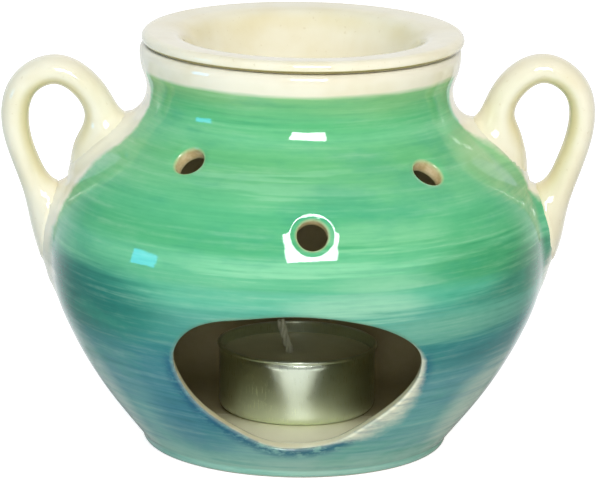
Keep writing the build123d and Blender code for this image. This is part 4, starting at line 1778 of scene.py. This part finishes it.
@dataclass
class Tealight:
    """The tealight: foil cup, wax, wick and the tab that holds the wick."""

    floor: float = 7.2
    radius: float = 19.0
    base_radius: float = 18.5
    height: float = 16.1
    heel: float = 2.2
    wall: float = 0.3
    bead: float = 0.45
    off_centre: float = 0.4
    wax_level: float = 13.4
    tab_radius: float = 6.3
    tab_thickness: float = 0.4
    tab_neck: Pair = (1.65, 4.0)
    wick_radius: float = 1.05
    wick_tip: tuple[float, float, float] = (-4.1, 0.6, 21.3)
    strands: int = 3
    strand_turns: float = 3.4
    lay_share: float = 0.5
    strand_share: float = 0.48
    wick_points: tuple[int, int] = (12, 50)
    bead_points: int = 15
    bead_turn: Pair = (-125.0, 24.0)
    segments: int = 160

    def turn(
        self, wheel: Tree, name: str, flat: list[Pair], material: bpy.types.Material
    ) -> bpy.types.Object:
        """Turns a closed or axis-to-axis outline about the tealight's own axis."""
        return turned(wheel, name, flat, self.segments, self.off_centre, material)

    def wall_line(self, inset: float) -> list[Pair]:
        """The cup's wall from its axis to just under the bead, moved in by a distance."""
        base = self.floor + inset
        start = (self.base_radius - self.heel, base)
        end = (self.base_radius - inset, self.floor + self.heel)
        top = (self.radius - self.bead - inset, self.floor + self.height - self.bead)
        heel = [tuple(point) for point in quarter(start, end, (1, 0), 8)]
        sides = [between(end, top, (share, share)) for share in (0.1, 0.3, 0.5, 0.7, 0.85, 0.95)]
        return [(0.0, base), (8.0, base), *heel, *sides]

    def build_cup(self, wheel: Tree, material: bpy.types.Material) -> bpy.types.Object:
        """The drawn cup with its rolled edge."""
        middle = (self.radius - self.bead, self.floor + self.height - self.bead)
        bead = []
        for index in range(self.bead_points):
            turn = math.radians(self.bead_turn[0] + index * self.bead_turn[1])
            out, up = self.bead * math.cos(turn), self.bead * math.sin(turn)
            bead.append((middle[0] + out, middle[1] + up))
        flat = self.wall_line(0.0) + bead + self.wall_line(self.wall)[::-1]
        return self.turn(wheel, "CandleCup", flat, material)

    def build_wax(self, wheel: Tree, material: bpy.types.Material) -> bpy.types.Object:
        """The wax, dished a little round the wick and drawn up at the foil."""
        level = self.floor + self.wax_level
        inset = self.wall + 0.04
        side = [point for point in self.wall_line(inset) if point[1] < level - 1.2]
        edge = between(
            (self.base_radius - inset, self.floor + self.heel),
            (self.radius - self.bead - inset, self.floor + self.height - self.bead),
            (0.78, 0.0),
        )[0]
        top = [(edge, level - 0.5), (edge - 0.05, level - 0.04), (edge - 0.3, level - 0.1)]
        top += [(edge - 1.0, level - 0.3), (12.0, level - 0.4), (6.0, level - 0.45)]
        top += [(3.0, level - 0.3), (1.5, level - 0.05), (0.0, level)]
        return self.turn(wheel, "CandleWax", side + top, material)

    def build_tab(self, wheel: Tree, material: bpy.types.Material) -> bpy.types.Object:
        """The pressed tab with its raised neck."""
        base = self.floor + self.wall + 0.02
        neck, rise = self.tab_neck
        bore = self.wick_radius + 0.02
        edge, top = self.tab_radius, base + self.tab_thickness
        flat = [(bore, base), (edge - 0.1, base), (edge, base + 0.1)]
        flat += [(edge, top - 0.1), (edge - 0.1, top), (neck + 0.4, top), (neck, top + 0.4)]
        flat += [(neck, base + rise - 0.25), (neck - 0.12, base + rise - 0.1)]
        flat.append((bore, base + rise - 0.1))
        flat += [(bore, base)]
        return self.turn(wheel, "WickTab", flat, material)

    def build_wick(self, twist: Tree, material: bpy.types.Material) -> bpy.types.Object:
        """Three waxed strands twisted together, bent over to the left."""
        base = self.floor + self.wall + 0.03
        collar = np.array([0.0, 0.0, base + self.tab_neck[1]])
        tip = np.array([self.wick_tip[0], self.wick_tip[1], self.floor + self.wick_tip[2] - 0.3])
        arrive = (tip - collar) / np.linalg.norm(tip - collar)
        straight_count, bent_count = self.wick_points
        bent = eased(collar, tip, (0.0, 0.0, 1.0), arrive, bent_count)
        straight = np.linspace([0, 0, base], collar, straight_count, endpoint=False)
        line = np.vstack([straight, bent]) + [self.off_centre, 0, 0]
        given = {"Strands": self.strands, "Turns": self.strand_turns, "Material": material}
        given["Lay Radius"] = self.lay_share * self.wick_radius * MM
        given["Strand Radius"] = self.strand_share * self.wick_radius * MM
        return twist.grow("CandleWick", line, **given)


@dataclass(frozen=True)
class Lamp:
    """One soft rectangular lamp that faces the object.

    Attributes:
        name: the lamp's name.
        way: the direction in which it hangs, seen from the object.
        distance: how far away it hangs in metres.
        size: its width and height in metres.
        power: its power in watts.
        tint: its colour.
        lights: whether it lights matt surfaces.
        shines: whether it shows in gloss.
    """

    name: str
    way: Triple
    distance: float
    size: Pair
    power: float
    tint: Colour = (1.0, 1.0, 1.0)
    lights: bool = True
    shines: bool = True


def way_at(angle: float, rise: float) -> Triple:
    """The direction at an angle round from the front and a rise, both in degrees."""
    turn, climb = math.radians(angle), math.radians(rise)
    level = math.cos(climb)
    return (math.sin(turn) * level, -math.cos(turn) * level, math.sin(climb))


KEY_WAY = (0.1, -0.803, 0.588)
KEY_DISTANCE = 1.2
KEY_SIZE = (0.46, 0.46)
LAMPS = (
    Lamp("KeySoftbox", KEY_WAY, KEY_DISTANCE, KEY_SIZE, 8.7, shines=False),
    Lamp("KeySheen", KEY_WAY, 0.97 * KEY_DISTANCE, KEY_SIZE, 17.0, lights=False),
    Lamp("LowFill", (-0.05, -0.98, 0.14), 1.3, (0.3, 0.3), 1.7, shines=False),
    Lamp("SidePanel", way_at(-74.0, 9.0), 1.5, (0.36, 0.26), 3.0, shade(50, 185, 250)),
)


@dataclass(frozen=True)
class Studio:
    """The camera, the pale floor and the soft lights round the object."""

    camera_place: Triple = (0.0, -0.9883, 0.2924)
    camera_aim: Triple = (0.00063, 0.0, 0.04802)
    camera_roll: float = 0.95
    lens: float = 258.15
    sensor: float = 36.0
    far_clip: float = 50.0
    lamp_aim: Triple = (0.0, 0.0, 0.05)
    floor_size: float = 8.0
    floor_glow: float = 0.74
    floor_matt: Colour = shade(235, 235, 235)
    floor_dim: Colour = shade(60, 60, 60)
    floor_rough: float = 0.9
    # Turns round from the front in radians, and depths in millimetres
    behind_turns: Pair = (1.85, 2.45)
    ahead_turns: Pair = (1.2, 0.8)
    ahead_depths: Pair = (-45.0, -90.0)
    behind_glow: float = 0.55
    ahead_glow: float = 0.85
    side_glow: float = 0.2
    side_dim: float = 0.75
    # Depths of a direction, from -1 in front to 1 behind
    backdrop_depths: Pair = (0.45, 0.85)
    room_depths: Pair = (-0.6, 0.8)
    room_levels: Pair = (0.34, 0.68)
    side_level: float = 0.22

    def point_at(self, thing: bpy.types.Object, aim: Vector, roll: float = 0.0) -> None:
        """Turns a camera or lamp towards a place."""
        way = (aim - thing.location).normalized()
        turn = way.to_track_quat("-Z", "Y").to_matrix()
        thing.rotation_euler = (turn @ Matrix.Rotation(math.radians(roll), 3, "Z")).to_euler()

    def set_camera(self) -> None:
        """Places the camera at the photograph's angle."""
        data = bpy.data.cameras.new("Camera")
        data.lens = self.lens
        data.sensor_width = self.sensor
        data.clip_end = self.far_clip
        camera = bpy.data.objects.new("Camera", data)
        camera.location = self.camera_place
        bpy.context.scene.collection.objects.link(camera)
        self.point_at(camera, Vector(self.camera_aim), self.camera_roll)
        bpy.context.scene.camera = camera

    def set_floor(self) -> None:
        """Lays the plain pale floor, which shows white and keeps the object's shadow.

        Gloss mirrors it bright behind the object and close in front, and dim at the sides.
        """
        mesh = bpy.data.meshes.new("Floor")
        half = self.floor_size / 2
        corners = [(-half, -half, 0), (half, -half, 0), (half, half, 0), (-half, half, 0)]
        mesh.from_pydata(corners, [], [(0, 1, 2, 3)])
        floor = bpy.data.objects.new("Floor", mesh)
        bpy.context.scene.collection.objects.link(floor)
        graph = Graph("studio_floor")
        path = graph.node("ShaderNodeLightPath").outputs
        glossy = path["Is Glossy Ray"]
        turn = graph.maths("ARCTAN2", graph.x, graph.times(graph.y, -1.0))
        turn = graph.maths("ABSOLUTE", turn)
        behind = graph.times(graph.step(turn, *self.behind_turns), self.behind_glow)
        ahead = graph.step(turn, *self.ahead_turns)
        ahead = graph.times(ahead, graph.step(graph.y, *self.ahead_depths))
        dim = graph.times(glossy, graph.minus(self.side_dim, behind))
        colour = graph.mix(dim, self.floor_matt, self.floor_dim)
        graph.set(Base_Color=colour, Roughness=self.floor_rough)
        seen = graph.maths("MAXIMUM", path["Is Camera Ray"], path["Is Transmission Ray"])
        glow = graph.line(ahead, self.ahead_glow, graph.add(behind, self.side_glow))
        seen = graph.maths("MAXIMUM", seen, graph.times(glossy, glow))
        graph.set(Emission_Color=(1.0, 1.0, 1.0))
        graph.set(Emission_Strength=graph.times(seen, self.floor_glow))
        mesh.materials.append(graph.material)

    def set_lamp(self, given: Lamp) -> None:
        """Hangs one soft rectangular lamp that faces the object."""
        data = bpy.data.lights.new(given.name, "AREA")
        data.shape = "RECTANGLE"
        data.size, data.size_y = given.size
        data.energy = given.power
        data.color = given.tint
        lamp = bpy.data.objects.new(given.name, data)
        aim = Vector(self.lamp_aim)
        lamp.location = aim + Vector(given.way).normalized() * given.distance
        lamp.visible_diffuse = given.lights
        lamp.visible_glossy = given.shines
        bpy.context.scene.collection.objects.link(lamp)
        self.point_at(lamp, aim)

    def set_world(self) -> None:
        """Surrounds the object with even light, white to the camera.

        Gloss mirrors a white backdrop behind the object and a dimmer room at its sides.
        """
        world = bpy.data.worlds.new("Studio")
        bpy.context.scene.world = world
        world.use_nodes = True
        sheet = Nodes(world.node_tree)
        background = sheet.node("ShaderNodeBackground")
        output = sheet.node("ShaderNodeOutputWorld")
        path = sheet.node("ShaderNodeLightPath").outputs
        split = sheet.node("ShaderNodeSeparateXYZ")
        sheet.put(sheet.node("ShaderNodeTexCoord").outputs["Generated"], split.inputs[0])
        depth = split.outputs["Y"]
        mirrored = sheet.ranged(depth, self.backdrop_depths, (self.side_level, 1.0))
        even = sheet.ranged(depth, self.room_depths, self.room_levels, "LINEAR")
        gloss = sheet.node("ShaderNodeMix")
        for given, socket in zip((path["Is Glossy Ray"], even, mirrored), (0, 2, 3)):
            sheet.put(given, gloss.inputs[socket])
        clear = sheet.maths("MAXIMUM", path["Is Camera Ray"], path["Is Transmission Ray"])
        level = sheet.maths("MAXIMUM", clear, gloss.outputs[0])
        sheet.put(level, background.inputs["Strength"])
        sheet.put((1.0, 1.0, 1.0), background.inputs["Color"])
        sheet.put(background.outputs[0], output.inputs[0])

    def build(self) -> None:
        """Sets up the camera, the floor and the light."""
        self.set_camera()
        self.set_floor()
        self.set_world()
        for lamp in LAMPS:
            self.set_lamp(lamp)
        bpy.context.scene.view_settings.view_transform = "Standard"


LEFT_SHARES = (
    (0.82, -0.101, 0.83, 1.05),
    (0.844, 0.0, 1.04, 1.25),
    (0.888, 0.154, 1.02, 1.18),
    (0.924, 0.323, 0.93, 1.04),
    (0.969, 0.504, 0.86, 0.98),
    (1.0, 0.718, 0.91, 0.98),
    (0.966, 0.915, 0.94, 1.0),
    (0.857, 1.0, 0.96, 1.03),
    (0.75, 0.908, 0.965, 1.06),
    (0.698, 0.755, 1.1, 1.13),
    (0.695, 0.651, 1.38, 1.3),
    (0.698, 0.572, 1.69, 1.45),
    (0.692, 0.464, 1.53, 1.4),
)
RIGHT_SHARES = (
    (0.824, -0.1, 0.97, 1.05),
    (0.854, 0.0, 1.22, 1.25),
    (0.888, 0.132, 1.13, 1.18),
    (0.925, 0.292, 0.965, 1.04),
    (0.973, 0.498, 0.88, 0.98),
    (1.0, 0.686, 0.86, 0.98),
    (0.98, 0.88, 0.87, 1.0),
    (0.858, 1.0, 0.945, 1.03),
    (0.742, 0.882, 0.98, 1.06),
    (0.703, 0.708, 1.15, 1.14),
    (0.707, 0.598, 1.53, 1.32),
    (0.706, 0.515, 1.78, 1.45),
    (0.7, 0.402, 1.55, 1.4),
)


def main() -> None:
    """Builds the pot, the handles, the dish, the tealight and the studio."""
    logging.basicConfig(level=logging.INFO, format="%(name)s: %(message)s")
    left = Handle(Side.LEFT, reach=66.8, low=46.7, crown=88.3, shares=LEFT_SHARES)
    right = Handle(Side.RIGHT, reach=66.3, low=49.6, crown=90.4, shares=RIGHT_SHARES)
    pot = Pot()
    settle(pot.build([left, right]), "pot", "painted_glaze", PaintedGlaze().dress(), "burner_body")
    handle_glaze = CreamGlaze("cream_glaze").dress()
    settle(left.build(pot.outer, pot.blend), "pot", "cream_glaze", handle_glaze, "left_handle")
    settle(right.build(pot.outer, pot.blend), "pot", "cream_glaze", handle_glaze, "right_handle")
    wheel = wheel_tree()
    dish_glaze = CreamGlaze("dish_glaze").dress()
    settle(OilDish().build(wheel, dish_glaze), "dish", "dish_glaze", dish_glaze, "oil_bowl")
    tealight = Tealight()
    foil, wax, tab, cotton = (kind.dress() for kind in (FOIL, WAX, TINPLATE, COTTON))
    settle(tealight.build_cup(wheel, foil), "tealight", "foil", foil, "candle_cup")
    settle(tealight.build_wax(wheel, wax), "tealight", "wax", wax, "candle_wax")
    settle(tealight.build_tab(wheel, tab), "tealight", "tinned_tab", tab, "wick_sustainer")
    settle(tealight.build_wick(twist_tree(), cotton), "tealight", "cotton", cotton, "candle_wick")
    Studio().build()


if __name__ == "__main__":
    main()
